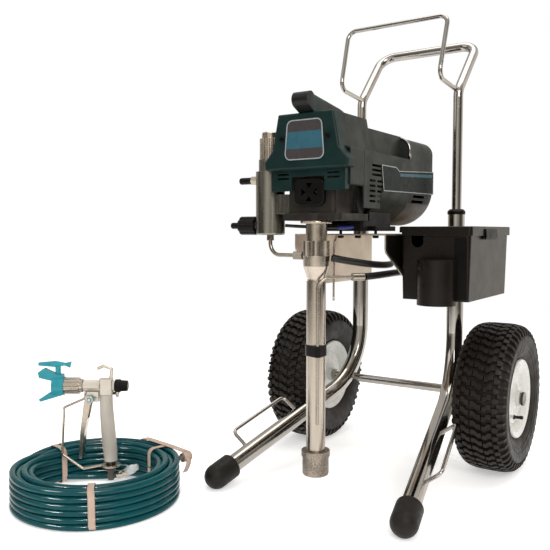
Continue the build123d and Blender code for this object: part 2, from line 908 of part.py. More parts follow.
face_y = -452.0
flare_z = 668.0
lip_z = 652.0
apron_low = 612.0
apron_y = -440.0
apron_half = 80.0
with BuildPart() as front_cover:
    cover_back = hood_front - gap
    face = symmetric((60, hood_z), (73, ledge_z), (92, flare_z), (90, lip_z))
    add(across_cart(face, cover_back, face_y, 3))
    fillet(front_cover.faces().sort_by(Axis.Y)[0].edges(), 4.5)
    apron = symmetric((apron_half, flare_z), (apron_half, apron_low))
    add(across_cart(apron, cover_back, apron_y, 2))
    # hollow, open at the back and at the bottom
    face_space = symmetric(
        (60 - shell, hood_z - shell), (73 - shell, ledge_z - 2),
        (92 - 4, flare_z - 2), (90 - shell, lip_z + shell),
    )
    add(across_cart(face_space, cover_back + 1, face_y + shell + 1), mode=Mode.SUBTRACT)
    apron_space = symmetric((apron_half - shell, flare_z), (apron_half - shell, apron_low - 1))
    add(across_cart(apron_space, cover_back + 1, apron_y + shell), mode=Mode.SUBTRACT)
    # clearance round the rod cover, and two vents at each side of it
    with Locations(at(0, apron_y, 615)):
        Box(72, 30, 48, mode=Mode.SUBTRACT)
    for hand in (-1, 1):
        for row in range(2):
            with Locations(at(hand * 55, apron_y, 644 - 8 * row)):
                Box(26, 12, 3.6, mode=Mode.SUBTRACT)
save(front_cover.part, "front_cover")

screw_x = 50.0
screw_z = 710.0
with BuildPart() as cover_screws:
    with BuildSketch(front(face_y - gap)):
        with Locations((-screw_x, screw_z), (screw_x, screw_z)):
            Circle(4.5)
            RegularPolygon(2.3, 6, mode=Mode.SUBTRACT)
    extrude(amount=3)
save(cover_screws.part, "cover_screws")

with BuildPart() as rod_cover:
    with BuildSketch(front(housing_front - gap)):
        with Locations((0, 609.5)):
            RectangleRounded(66, 53, 14)
        with Locations((0, 609.5)):
            with PolarLocations(14, 4):
                Triangle(a=16, b=13, c=13, rotation=90, mode=Mode.SUBTRACT)
    extrude(amount=8)
    fillet(rod_cover.faces().sort_by(Axis.Y)[0].outer_wire().edges(), 3)
save(rod_cover.part, "rod_cover")

with BuildPart() as carry_handle:
    with BuildSketch(side(-17)):
        with BuildLine():
            tail = Polyline(
                (-443, hood_z + gap), (hood_rear - 2, hood_z + gap), (-326, 771), (-345, 779), (-452, 793)
            )
            nose = ThreePointArc(tail @ 1, (-471, 780), (-462, 766))
            Line(nose @ 1, tail @ 0)
        make_face()
    extrude(amount=34)
    fillet(carry_handle.edges().filter_by(Axis.X, reverse=True).sort_by(Axis.Z)[-2:], 8)
save(carry_handle.part, "carry_handle")

# ---------------------------------------------------------------- controls

box_half = 60.0
box_y = -248.0
box_z = 556.0
box_top_z = 580.0
box_ahead = -330.0
box_tail = -196.0
knob_y = -228.0
switch_y = -270.0
with BuildPart() as control_box:
    with Locations(at(0, (box_ahead + box_tail) / 2, (box_base + box_top_z) / 2)):
        Box(2 * box_half, box_tail - box_ahead, box_top_z - box_base)
    fillet(control_box.edges().filter_by(Axis.Z), 5)
    # a low ledge on the right reaches the outer bolt
    with Locations(at((72 - box_half) / 2, box_y, box_base + 5)):
        Box(72 + box_half, 96, 10)
    # seats for the motor's belly, the drive's foot plate and its two posts
    with Locations(at(0, box_y, belly_z)):
        Cylinder(body_half + gap, 200, rotation=(90, 0, 0), mode=Mode.SUBTRACT)
    with Locations(at(0, motor_front - 50 + gap, housing_base - gap + 50)):
        Box(200, 100, 100, mode=Mode.SUBTRACT)
    with BuildSketch(level(box_base)):
        with Locations((-post_x, post_y), (post_x, post_y)):
            Circle(6 + gap)
    extrude(amount=30, mode=Mode.SUBTRACT)
    with BuildSketch(level(box_base)):
        with Locations(*bolt_places):
            Circle(3 + gap)
    extrude(amount=6, mode=Mode.SUBTRACT)
    with Locations(at(-box_half, switch_y, box_z)):
        Box(14, 22, 14, mode=Mode.SUBTRACT)
    with Locations(at(-box_half, knob_y, box_z)):
        Cylinder(4 + running, 24, rotation=(0, 90, 0), mode=Mode.SUBTRACT)
save(control_box.part, "control_box")

with BuildPart() as power_switch:
    with BuildSketch(level(box_z - 5.5, -box_half, switch_y)):
        with BuildLine():
            Polyline((-4, -9), (2, -9), (2, 9), (-4, 9), (-1.5, 0), close=True)
        make_face()
    extrude(amount=11)
save(power_switch.part, "power_switch")

with BuildPart() as pressure_knob:
    with BuildSketch(side(-box_half - 1)):
        with Locations((knob_y, box_z)):
            Circle(14)
            with PolarLocations(16, 10):
                Circle(3, mode=Mode.SUBTRACT)
    extrude(amount=-20)
    with BuildSketch(side(-box_half - 2)):
        with Locations((knob_y, box_z)):
            Circle(4)
    extrude(amount=12)
save(pressure_knob.part, "pressure_knob")

# ---------------------------------------------------------------- toolbox

box_width = box_right - box_left
box_length = box_rear - box_front
box_mid_x = (box_left + box_right) / 2
box_mid_y = (box_front + box_rear) / 2
wall = 3.0
cup_x = 193.0
cup_radius = 38.0
cup_low = 392.0
cup_top = 480.0
with BuildPart() as toolbox:
    with BuildSketch(level(box_top, box_mid_x, box_mid_y)):
        RectangleRounded(box_width, box_length, 8)
    extrude(amount=-(box_top - box_bottom), taper=1.5)
    with BuildSketch(level(box_top, box_mid_x, box_mid_y)):
        RectangleRounded(box_width - 2 * wall, box_length - 2 * wall, 6)
    extrude(amount=-(box_top - box_bottom - wall), taper=1.5, mode=Mode.SUBTRACT)
    # round pocket on the front
    with BuildSketch(level(cup_low, cup_x, box_front)):
        Circle(cup_radius)
        with Locations((0, 4 + cup_radius)):
            Rectangle(2 * cup_radius + 2, 2 * cup_radius, mode=Mode.SUBTRACT)
    extrude(amount=cup_top - cup_low)
    with BuildSketch(level(cup_low + wall, cup_x, box_front)):
        Circle(cup_radius - wall)
        with Locations((0, cup_radius)):
            Rectangle(2 * cup_radius + 2, 2 * cup_radius, mode=Mode.SUBTRACT)
    extrude(amount=cup_top, mode=Mode.SUBTRACT)
    # cable notch in the front wall
    with BuildSketch(front(box_front + 6)):
        with Locations((151.5, 526)):
            Rectangle(25, 20)
        with Locations((151.5, 516)):
            Circle(12.5)
    extrude(amount=10, mode=Mode.SUBTRACT)
save(toolbox.part, "toolbox")

lid_rim = 4.0
lid_top = box_top + 12.0
hinge_x = box_left - 0.5
with BuildPart() as toolbox_lid:
    with Locations(at((hinge_x + box_right + lid_rim) / 2, box_mid_y, (lid_top + box_top - 6) / 2)):
        Box(box_right + lid_rim - hinge_x, box_length + 2 * lid_rim, lid_top - box_top + 6)
    fillet(toolbox_lid.edges().filter_by(Axis.Z).group_by(Axis.X)[-1], 8)
    fillet(toolbox_lid.edges().group_by(Axis.Z)[-1], 2.5)
    with Locations(at((hinge_x + box_right) / 2, box_mid_y, box_top - 3 + gap / 2)):
        Box(box_right - hinge_x + 1, box_length + 1, 6 + gap, mode=Mode.SUBTRACT)
    with Locations(at((hinge_x + box_right) / 2 + 4, box_mid_y, box_top + 4)):
        Box(box_right - hinge_x - 14, box_length - 10, 9, mode=Mode.SUBTRACT)
    # a scallop clears the lid's side flanges at the hinge
    with Locations(at(hinge_x + 4, box_mid_y, box_top - 6)):
        Box(12, box_length + 20, 12, mode=Mode.SUBTRACT)
save(toolbox_lid.part, "toolbox_lid")

latch_y = -163.0
latch_z = 537.0
latch_face = box_right + lid_rim + gap
with BuildPart() as toolbox_latch:
    with BuildSketch(front(latch_y + 36)):
        with BuildLine():
            Polyline(
                (latch_face, latch_z + 3), (latch_face + 3, latch_z + 3), (latch_face + 4, latch_z - 12),
                (latch_face + 2, latch_z - 18), (latch_face, latch_z - 18), close=True,
            )
        make_face()
    extrude(amount=72)
save(toolbox_latch.part, "toolbox_latch")

# ---------------------------------------------------------------- hose coil

skin = 1.0
with BuildPart() as hose_coil:
    with BuildSketch(front(coil_y)):
        with Locations((coil_x + (coil_outer + coil_inner) / 2, coil_height / 2)):
            RectangleRounded(coil_outer - coil_inner - 2 * skin, coil_height - 2 * skin, 20)
    revolve(axis=Axis(at(coil_x, coil_y, 0), (0, 0, 1)))
save(hose_coil.part, "hose_coil")

tie_angles = (-45, 73, 172)
tie_width = 14.0
with BuildPart() as hose_ties:
    for angle in tie_angles:
        across = Vector(cos(radians(angle)), sin(radians(angle)), 0)
        along = Vector(-across.Y, across.X, 0)
        middle = (coil_outer + coil_inner) / 2
        centre = at(coil_x, coil_y, coil_height / 2) + across * middle - along * (tie_width / 2)
        with BuildSketch(Plane(origin=centre, x_dir=across, z_dir=along)):
            RectangleRounded(coil_outer - coil_inner, coil_height, 20)
            RectangleRounded(
                coil_outer - coil_inner - skin, coil_height - skin, 20, mode=Mode.SUBTRACT
            )
        extrude(amount=tie_width)
save(hose_ties.part, "hose_ties")

# ---------------------------------------------------------------- spray gun

gun_forward = Vector(cos(radians(gun_heading)), sin(radians(gun_heading)), 0)
gun_across = Vector(gun_forward.Y, -gun_forward.X, 0)


def gun_plane(offset=0.0):
    """The gun's upright plane: local (forward, height)."""
    return Plane(origin=at(gun_x, gun_y, 0) + gun_across * offset, x_dir=gun_forward, z_dir=gun_across)


def gun_point(forward, height):
    """A point in the gun's middle plane."""
    return at(gun_x, gun_y, height) + gun_forward * forward


def nozzle_plane(forward):
    """A plane across the barrel: its normal points to the nozzle."""
    return Plane(origin=gun_point(forward, barrel_z), x_dir=gun_across, z_dir=gun_forward)


grip_top = 192.0
grip_low = 56.0
grip_lean = -8.0
trigger_u = 31.0
trigger_z = 188.0
with BuildPart() as gun_body:
    with BuildSketch(gun_plane(-11)):
        with BuildLine():
            Polyline((-15, 229), (13, 229), (13, grip_top + 4), (-15, grip_top + 4), close=True)
        make_face()
    extrude(amount=22)
    fillet(gun_body.edges().filter_by(Axis.Z), 6)
    with BuildSketch(nozzle_plane(12)):
        Circle(11.5)
    extrude(amount=34)
    with BuildSketch(nozzle_plane(46)):
        Circle(8.5)
    extrude(amount=14)
    with BuildSketch(nozzle_plane(-15)):
        Circle(11)
    extrude(amount=-4)
    hook = [gun_point(-10, 226), gun_point(-13, 250), gun_point(4, 256), gun_point(17, 250)]
    add(bent_tube(hook, 5, 3.5))
    with BuildSketch(gun_plane(-9)):
        with Locations((trigger_u - 5, trigger_z + 10)):
            Rectangle(24, 10)
    extrude(amount=18)
    with BuildSketch(gun_plane(-5)):
        with Locations((trigger_u - 4, trigger_z + 2)):
            Rectangle(24, 18)
    extrude(amount=10)
    with BuildSketch(gun_plane(-20)):
        with Locations((trigger_u, trigger_z)):
            Circle(3)
    extrude(amount=40)
save(gun_body.part, "gun_body")

with BuildPart() as gun_grip:
    for height, lean, radius in (
        (grip_top + 3.9, 0.0, 13.5), (160.0, -1.0, 14.0), (100.0, -5.0, 15.0), (grip_low, grip_lean, 13.5)
    ):
        with BuildSketch(Plane(origin=gun_point(lean, height))):
            Circle(radius)
    loft()
    with BuildSketch(Plane(origin=gun_point(grip_lean, grip_low))):
        Circle(6 + running)
    extrude(amount=16, mode=Mode.SUBTRACT)
save(gun_grip.part, "gun_grip")

with BuildPart() as gun_trigger:
    with BuildSketch(gun_plane(-12)):
        with BuildLine():
            Polyline(
                (24, 196), (40, 196), (44, 178), (52, 120), (56, 64), (50, 62), (44, 115), (32, 172),
                close=True,
            )
        make_face()
    extrude(amount=24)
    fillet(gun_trigger.edges().group_by(Axis.Z)[0], 1.5)
    with BuildSketch(gun_plane(-9.2)):
        with Locations((30, 176)):
            Rectangle(70, 60)
    extrude(amount=18.4, mode=Mode.SUBTRACT)
    with BuildSketch(gun_plane(-20)):
        with Locations((trigger_u, trigger_z)):
            Circle(3 + running)
    extrude(amount=40, mode=Mode.SUBTRACT)
save(gun_trigger.part, "gun_trigger")

with BuildPart() as trigger_lock:
    with BuildSketch(gun_plane(-12.3)):
        with Locations((trigger_u, trigger_z)):
            Circle(8)
            Circle(3 + running, mode=Mode.SUBTRACT)
    extrude(amount=-5)
save(trigger_lock.part, "trigger_lock")

with BuildPart() as trigger_guard:
    add(
        bent_tube(
            [
                gun_point(42, 203), gun_point(45, 187), gun_point(88, 168), gun_point(94, 69),
                gun_point(50, 38), gun_point(10, 46),
            ],
            5,
            2.5,
        )
    )
    with BuildSketch(Plane(origin=gun_point(grip_lean, 44))):
        Circle(19)
        Circle(11, mode=Mode.SUBTRACT)
    extrude(amount=4)
save(trigger_guard.part, "trigger_guard")

with BuildPart() as guard_nut:
    with BuildSketch(nozzle_plane(47)):
        Circle(14)
        Circle(8.5 + running, mode=Mode.SUBTRACT)
    extrude(amount=8)
    with BuildSketch(nozzle_plane(54)):
        Circle(17.5)
        with PolarLocations(19.5, 8):
            Circle(3.5, mode=Mode.SUBTRACT)
        Circle(8.5 + running, mode=Mode.SUBTRACT)
    extrude(amount=31)
save(guard_nut.part, "guard_nut")

tip_u = 99.0
with BuildPart() as tip_guard:
    with BuildSketch(nozzle_plane(85.2)):
        Circle(19)
    extrude(amount=24)
    with BuildSketch(gun_plane(-8)):
        with BuildLine():
            Polyline(
                (88, 214), (88, 238), (104, 240), (128, 251), (139, 243), (137, 232), (112, 226),
                (106, 214), close=True,
            )
        make_face()
        with BuildLine():
            Polyline((90, 214), (88, 196), (134, 182), (139, 186), (110, 205), (108, 214), close=True)
        make_face()
    extrude(amount=16)
    with Locations(gun_point(tip_u, barrel_z + 10)):
        Cylinder(5.5 + running, 90, mode=Mode.SUBTRACT)
    with BuildSketch(nozzle_plane(100)):
        Circle(7)
    extrude(amount=20, mode=Mode.SUBTRACT)
save(tip_guard.part, "tip_guard")

with BuildPart() as spray_tip:
    with Locations(gun_point(tip_u, 226)):
        Cylinder(5.5, 60)
    with BuildSketch(gun_plane(-3.5)):
        with BuildLine():
            Polyline(
                (71, 265), (74, 252.5), (84, 257), (104, 254), (139, 257), (139, 263), (104, 266),
                (84, 262), close=True,
            )
        make_face()
    extrude(amount=7)
save(spray_tip.part, "spray_tip")

inlet_radius = 6.6
inlet_low = 15.0
with BuildPart() as gun_swivel:
    with BuildSketch(Plane(origin=gun_point(grip_lean, 34))):
        RegularPolygon(11, 6)
    extrude(amount=9)
    with BuildSketch(Plane(origin=gun_point(grip_lean, 43))):
        Circle(9)
    extrude(amount=grip_low - gap - 43)
    with BuildSketch(Plane(origin=gun_point(grip_lean, grip_low - 1))):
        Circle(6)
    extrude(amount=15)
    with BuildSketch(Plane(origin=gun_point(grip_lean, inlet_low))):
        Circle(inlet_radius)
    extrude(amount=34 - inlet_low)
    with BuildSketch(Plane(origin=gun_point(grip_lean, inlet_low))):
        Circle(3)
    extrude(amount=grip_low - inlet_low, mode=Mode.SUBTRACT)
save(gun_swivel.part, "gun_swivel")
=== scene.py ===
from math import atan2, cos, pi, radians, sin, tau

import bmesh
import bpy
from mathutils import Euler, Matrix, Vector


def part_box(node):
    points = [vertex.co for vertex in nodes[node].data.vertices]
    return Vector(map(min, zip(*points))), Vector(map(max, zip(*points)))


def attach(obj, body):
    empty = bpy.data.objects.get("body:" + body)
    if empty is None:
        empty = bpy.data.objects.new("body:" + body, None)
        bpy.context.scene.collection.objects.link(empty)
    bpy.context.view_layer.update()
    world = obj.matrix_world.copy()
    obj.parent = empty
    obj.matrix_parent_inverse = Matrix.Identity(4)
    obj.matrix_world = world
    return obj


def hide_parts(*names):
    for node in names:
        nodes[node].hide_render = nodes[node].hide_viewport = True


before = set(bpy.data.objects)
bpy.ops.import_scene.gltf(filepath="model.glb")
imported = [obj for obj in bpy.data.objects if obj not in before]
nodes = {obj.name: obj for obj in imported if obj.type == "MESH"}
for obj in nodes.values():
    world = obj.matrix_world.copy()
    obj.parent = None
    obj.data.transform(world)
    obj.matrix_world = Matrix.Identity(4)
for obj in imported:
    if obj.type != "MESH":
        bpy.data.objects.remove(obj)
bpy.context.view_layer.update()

# Airless paint sprayer on a two-wheeled cart. Metres, in the row's frame.

scene = bpy.context.scene
mm = 0.001

# The cart's own zero is on the floor under the middle of the axle.
axle_low, axle_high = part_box("axle")
cart_zero = Vector(((axle_low.x + axle_high.x) / 2, (axle_low.y + axle_high.y) / 2, 0))


def cart(x, y, z):
    """A place given in millimetres from the cart's zero, as a point of the row."""
    return cart_zero + Vector((x, y, z)) * mm


def middle(node):
    """The middle of a CAD node's box."""
    low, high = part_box(node)
    return (low + high) / 2


# ---------------------------------------------------------------- mesh helpers


def piece(name, vertices, faces, material, body, smooth=True):
    """A new mesh object that rides on a body."""
    mesh = bpy.data.meshes.new(name)
    mesh.from_pydata([tuple(v) for v in vertices], [], faces)
    shell = bmesh.new()
    shell.from_mesh(mesh)
    bmesh.ops.recalc_face_normals(shell, faces=shell.faces)
    shell.to_mesh(mesh)
    shell.free()
    mesh.polygons.foreach_set("use_smooth", [smooth] * len(mesh.polygons))
    mesh.materials.append(material)
    made = bpy.data.objects.new(name, mesh)
    scene.collection.objects.link(made)
    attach(made, body)
    return made


def soften(made, width, segments=2, angle=35):
    """Round a piece's hard edges."""
    bevel = made.modifiers.new("bevel", "BEVEL")
    bevel.width = width
    bevel.segments = segments
    bevel.limit_method = "ANGLE"
    bevel.angle_limit = radians(angle)
    bevel.harden_normals = False
    return made


def smooth_path(points, per_span=8):
    """Points along a smooth curve through the given points."""
    points = [Vector(p) for p in points]
    padded = [2 * points[0] - points[1]] + points + [2 * points[-1] - points[-2]]
    path = []
    for before, start, end, after in zip(padded, padded[1:], padded[2:], padded[3:]):
        for step in range(per_span):
            t = step / per_span
            path.append(
                (2 * start + (end - before) * t
                 + (2 * before - 5 * start + 4 * end - after) * t ** 2
                 + (3 * start - before - 3 * end + after) * t ** 3) / 2
            )
    path.append(points[-1])
    return path


def tube_mesh(path, radius, sides=14, closed_ends=True):
    """A round tube along a path. Its radius may be a function of the share of the way."""
    vertices, faces = [], []
    across = (path[1] - path[0]).normalized().orthogonal().normalized()
    for index, point in enumerate(path):
        ahead = path[min(index + 1, len(path) - 1)]
        behind = path[max(index - 1, 0)]
        along = (ahead - behind).normalized()
        across = (across - along * across.dot(along)).normalized()
        other = along.cross(across)
        size = radius(index / (len(path) - 1)) if callable(radius) else radius
        for side in range(sides):
            turn = tau * side / sides
            vertices.append(point + (across * cos(turn) + other * sin(turn)) * size)
    for ring in range(len(path) - 1):
        for side in range(sides):
            following = (side + 1) % sides
            a, b = ring * sides + side, ring * sides + following
            faces.append((a, b, b + sides, a + sides))
    if closed_ends:
        faces.append(tuple(range(sides)))
        faces.append(tuple(range(len(vertices) - sides, len(vertices))))
    return vertices, faces


def in_mm(points):
    """A profile or outline given in millimetres, in metres."""
    return [(first * mm, second * mm) for first, second in points]


def turned(profile, origin, axis, steps=48, ripple=None):
    """Vertices and faces of a profile of (along, radius) points turned about an axis."""
    axis = Vector(axis).normalized()
    first = axis.orthogonal().normalized()
    second = axis.cross(first)
    vertices, faces = [], []
    for along, radius in profile:
        for step in range(steps):
            turn = tau * step / steps
            size = radius * (ripple(along, turn) if ripple else 1)
            vertices.append(origin + axis * along + (first * cos(turn) + second * sin(turn)) * size)
    for row in range(len(profile) - 1):
        for step in range(steps):
            following = (step + 1) % steps
            a, b = row * steps + step, row * steps + following
            faces.append((a, b, b + steps, a + steps))
    faces.append(tuple(range(steps)))
    faces.append(tuple(range(len(vertices) - steps, len(vertices))))
    return vertices, faces


def inset(outline, width):
    """A closed outline moved inward by a width, when its corners run counterclockwise."""
    moved = []
    for before, corner, after in zip(outline[-1:] + outline[:-1], outline, outline[1:] + outline[:1]):
        arriving = (Vector(corner) - Vector(before)).normalized()
        leaving = (Vector(after) - Vector(corner)).normalized()
        first = Vector((-arriving.y, arriving.x))
        second = Vector((-leaving.y, leaving.x))
        moved.append(tuple(Vector(corner) + (first + second) * (width / (1 + first.dot(second)))))
    return moved


def joined(*parts):
    """One list of vertices and one of faces from several."""
    vertices, faces = [], []
    for more_vertices, more_faces in parts:
        start = len(vertices)
        vertices += list(more_vertices)
        faces += [tuple(start + corner for corner in face) for face in more_faces]
    return vertices, faces


def plate(outline, origin, right, up, thickness):
    """A flat plate with the given outline of (right, up) points, standing out from its origin."""
    out = right.cross(up).normalized()
    count = len(outline)
    back = [origin + right * u + up * v for u, v in outline]
    vertices = back + [corner + out * thickness for corner in back]
    faces = [tuple(range(count)), tuple(range(count, 2 * count))]
    for corner in range(count):
        following = (corner + 1) % count
        faces.append((corner, following, following + count, corner + count))
    return vertices, faces


def framed_plate(outline, width, origin, right, up, thickness):
    """The raised border that runs round a plate of the given outline."""
    out = right.cross(up).normalized()
    count = len(outline)
    inner = inset(outline, width)
    rings = ((outline, 0), (outline, thickness), (inner, thickness), (inner, 0))
    vertices, faces = [], []
    for ring, height in rings:
        vertices += [origin + right * u + up * v + out * height for u, v in ring]
    for row in range(len(rings)):
        below = (row + 1) % len(rings)
        for corner in range(count):
            following = (corner + 1) % count
            faces.append((
                row * count + corner, row * count + following,
                below * count + following, below * count + corner,
            ))
    return vertices, faces


# ---------------------------------------------------------------- materials


class Graph:
    """A short way to add nodes to a tree and to wire them."""

    def __init__(self, tree):
        self.tree = tree

    def add(self, kind, **values):
        node = self.tree.nodes.new(kind)
        for key, value in values.items():
            setattr(node, key, value)
        return node

    def link(self, source, target):
        self.tree.links.new(source, target)


class Nodes(Graph):
    """A new material and the wiring that finishes share."""

    def __init__(self, name):
        self.material = bpy.data.materials.new(name)
        self.material.use_nodes = True
        super().__init__(self.material.node_tree)
        self.shader = self.tree.nodes["Principled BSDF"]
        self.place = self.add("ShaderNodeTexCoord").outputs["Object"]

    def noise(self, scale, detail=4.0, stretch=(1, 1, 1)):
        """Noise from 0 to 1, with features of about 1/scale metres, stretched along an axis."""
        mapping = self.add("ShaderNodeMapping")
        mapping.inputs["Scale"].default_value = stretch
        self.link(self.place, mapping.inputs["Vector"])
        texture = self.add("ShaderNodeTexNoise")
        texture.inputs["Scale"].default_value = scale
        texture.inputs["Detail"].default_value = detail
        self.link(mapping.outputs["Vector"], texture.inputs["Vector"])
        return texture.outputs["Fac"]

    def spread(self, source, low, high, from_low=0.35, from_high=0.65):
        """A value's usual range spread over another range."""
        node = self.add("ShaderNodeMapRange")
        node.inputs["From Min"].default_value = from_low
        node.inputs["From Max"].default_value = from_high
        node.inputs["To Min"].default_value = low
        node.inputs["To Max"].default_value = high
        self.link(source, node.inputs["Value"])
        return node.outputs["Result"]

    def blend(self, share, first, second):
        """A colour between two colours."""
        node = self.add("ShaderNodeMix", data_type="RGBA")
        self.link(share, node.inputs["Factor"])
        for colour, socket in ((first, node.inputs["A"]), (second, node.inputs["B"])):
            if isinstance(colour, tuple):
                socket.default_value = (*colour, 1)
            else:
                self.link(colour, socket)
        return node.outputs["Result"]

    def edges(self, radius):
        """A rounded normal, and a mask that is 1 on the object's edges."""
        bevel = self.add("ShaderNodeBevel", samples=3)
        bevel.inputs["Radius"].default_value = radius
        geometry = self.add("ShaderNodeNewGeometry")
        dot = self.add("ShaderNodeVectorMath", operation="DOT_PRODUCT")
        self.link(bevel.outputs["Normal"], dot.inputs[0])
        self.link(geometry.outputs["Normal"], dot.inputs[1])
        mask = self.spread(dot.outputs["Value"], 1.0, 0.0, 0.8, 0.985)
        return bevel.outputs["Normal"], mask

    def product(self, first, second):
        node = self.add("ShaderNodeMath", operation="MULTIPLY")
        self.link(first, node.inputs[0])
        self.link(second, node.inputs[1])
        return node.outputs["Value"]

    def relief(self, height, strength, depth, under=None):
        """Bumps up to a depth in metres, on top of the normal that lies under them."""
        bump = self.add("ShaderNodeBump")
        bump.inputs["Strength"].default_value = strength
        bump.inputs["Distance"].default_value = depth
        self.link(height, bump.inputs["Height"])
        if under is not None:
            self.link(under, bump.inputs["Normal"])
        self.link(bump.outputs["Normal"], self.shader.inputs["Normal"])


def surface(name, colour, shade, rough, metallic=0.0, patch=14.0, grain=900.0, bump=0.1, depth=0.2,
            edge_wear_and_sheen=None, wear=0.5, coat=0.0, stretch=(1, 1, 1), edge=0.0012, shine=0.5):
    """A finish with patchy colour, uneven gloss, fine grain, and rounded edges in their own colour: edge
    wear, and on the dark green cover also a painted edge highlight.

    rough is the lowest and highest roughness, patch and grain are features per metre, depth is the
    grain's depth in millimetres, and edge the edges' rounding in metres."""
    n = Nodes(name)
    patches = n.spread(n.noise(patch, 6.0, stretch), 0.0, 1.0)
    base = n.blend(patches, colour, shade)
    rounded, mask = n.edges(edge)
    broken = n.product(mask, n.spread(n.noise(patch * 8), wear * 0.3, wear))
    n.link(n.blend(broken, base, edge_wear_and_sheen or colour), n.shader.inputs["Base Color"])
    n.link(n.spread(n.noise(patch * 3, 5.0, stretch), *rough), n.shader.inputs["Roughness"])
    n.relief(n.noise(grain, 3.0, stretch), bump, depth * mm, rounded)
    n.shader.inputs["Metallic"].default_value = metallic
    n.shader.inputs["Coat Weight"].default_value = coat
    n.shader.inputs["Coat Roughness"].default_value = 0.12
    n.shader.inputs["Specular IOR Level"].default_value = shine
    return n.material


chrome = surface("chrome", (0.45, 0.425, 0.39), (0.37, 0.35, 0.32), (0.05, 0.13), metallic=1.0,
                 patch=9, bump=0.04, edge_wear_and_sheen=(0.66, 0.63, 0.58))
nickel = surface("satin_nickel", (0.56, 0.49, 0.41), (0.46, 0.40, 0.33), (0.20, 0.32), metallic=1.0,
                 patch=16, bump=0.12, edge_wear_and_sheen=(0.72, 0.66, 0.58))
brushed = surface("brushed_nickel", (0.50, 0.44, 0.37), (0.41, 0.36, 0.30), (0.18, 0.30), metallic=1.0,
                  patch=10, grain=500, bump=0.12, edge_wear_and_sheen=(0.74, 0.68, 0.60), stretch=(8, 8, 0.4))
olive = surface("filter_satin", (0.30, 0.29, 0.25), (0.23, 0.225, 0.19), (0.22, 0.34), metallic=1.0,
                patch=10, grain=500, bump=0.12, edge_wear_and_sheen=(0.5, 0.48, 0.42), stretch=(8, 8, 0.4))
plated = surface("plated_sheet", (0.56, 0.48, 0.40), (0.47, 0.40, 0.33), (0.36, 0.50), metallic=0.9,
                 patch=11, bump=0.15, edge_wear_and_sheen=(0.7, 0.63, 0.55))
gun_cast = surface("gun_casting", (0.70, 0.65, 0.57), (0.60, 0.55, 0.48), (0.28, 0.42), metallic=0.6,
                   patch=22, bump=0.2, edge_wear_and_sheen=(0.76, 0.71, 0.64))
grip_paint = surface("grip_satin", (0.60, 0.56, 0.50), (0.47, 0.43, 0.37), (0.34, 0.48), metallic=0.25,
                     patch=26, bump=0.25, edge_wear_and_sheen=(0.5, 0.46, 0.40), stretch=(1, 1, 0.3))
pipe_nickel = surface("pipe_nickel", (0.40, 0.35, 0.29), (0.32, 0.28, 0.23), (0.20, 0.32), metallic=1.0,
                      patch=16, bump=0.12, edge_wear_and_sheen=(0.6, 0.54, 0.46))
dark_steel = surface("dark_steel", (0.10, 0.088, 0.075), (0.07, 0.062, 0.052), (0.24, 0.38), metallic=0.9,
                     patch=24, bump=0.15, edge_wear_and_sheen=(0.3, 0.27, 0.23))
steel = surface("machined_steel", (0.52, 0.51, 0.50), (0.40, 0.39, 0.38), (0.18, 0.32), metallic=1.0,
                patch=24, bump=0.15, edge_wear_and_sheen=(0.7, 0.7, 0.7))
bronze = surface("bronze", (0.55, 0.36, 0.17), (0.45, 0.28, 0.12), (0.25, 0.4), metallic=1.0,
                 edge_wear_and_sheen=(0.7, 0.5, 0.28))
copper = surface("windings", (0.48, 0.20, 0.09), (0.33, 0.13, 0.06), (0.3, 0.5), metallic=0.8,
                 grain=1200, bump=0.6, stretch=(1, 0.1, 1))
# The dark green cover's lighter edge colour is partly real edge wear and partly a painted highlight along
# its rounded edges.
green = surface("dark_green_cover", (0.0042, 0.022, 0.0205), (0.0028, 0.016, 0.015), (0.34, 0.48),
                patch=12, bump=0.25, depth=0.15, edge_wear_and_sheen=(0.025, 0.065, 0.06), wear=0.6, shine=0.22)
motor_green = surface("motor_cover_green", (0.022, 0.027, 0.023), (0.015, 0.019, 0.016), (0.36, 0.50),
                      patch=12, bump=0.3, depth=0.15, edge_wear_and_sheen=(0.06, 0.07, 0.062), wear=0.6, shine=0.2)
black = surface("black_moulding", (0.0042, 0.0036, 0.0031), (0.0027, 0.0023, 0.0020), (0.34, 0.48),
                patch=15, bump=0.35, edge_wear_and_sheen=(0.024, 0.021, 0.018), wear=0.6, shine=0.15)
box_black = surface("toolbox_plastic", (0.0085, 0.0060, 0.0044), (0.0064, 0.0045, 0.0032), (0.22, 0.30),
                    patch=9, grain=1500, bump=0.3, edge_wear_and_sheen=(0.045, 0.038, 0.032), wear=0.6, shine=0.24)
rubber = surface("tyre_rubber", (0.0090, 0.0066, 0.0052), (0.0175, 0.0130, 0.0102), (0.40, 0.60),
                 patch=18, grain=700, bump=0.5, depth=0.3, edge_wear_and_sheen=(0.05, 0.042, 0.036), wear=0.7,
                 edge=0.001, shine=0.24)
cap_rubber = surface("cap_rubber", (0.0085, 0.0068, 0.0056), (0.0135, 0.0108, 0.0090), (0.42, 0.58),
                     patch=25, bump=0.5, edge_wear_and_sheen=(0.04, 0.035, 0.03), shine=0.22)
black_hose = surface("black_hose", (0.007, 0.007, 0.007), (0.011, 0.0105, 0.0105), (0.28, 0.42),
                     patch=30, bump=0.2, shine=0.4)
enamel = surface("white_enamel", (0.60, 0.605, 0.565), (0.57, 0.575, 0.54), (0.24, 0.31),
                 patch=14, grain=500, bump=0.12, edge_wear_and_sheen=(0.42, 0.40, 0.36), wear=0.35, coat=0.3)
teal = surface("teal_plastic", (0.010, 0.30, 0.37), (0.007, 0.24, 0.30), (0.30, 0.42),
               patch=30, bump=0.2, edge_wear_and_sheen=(0.05, 0.36, 0.42), wear=0.6)
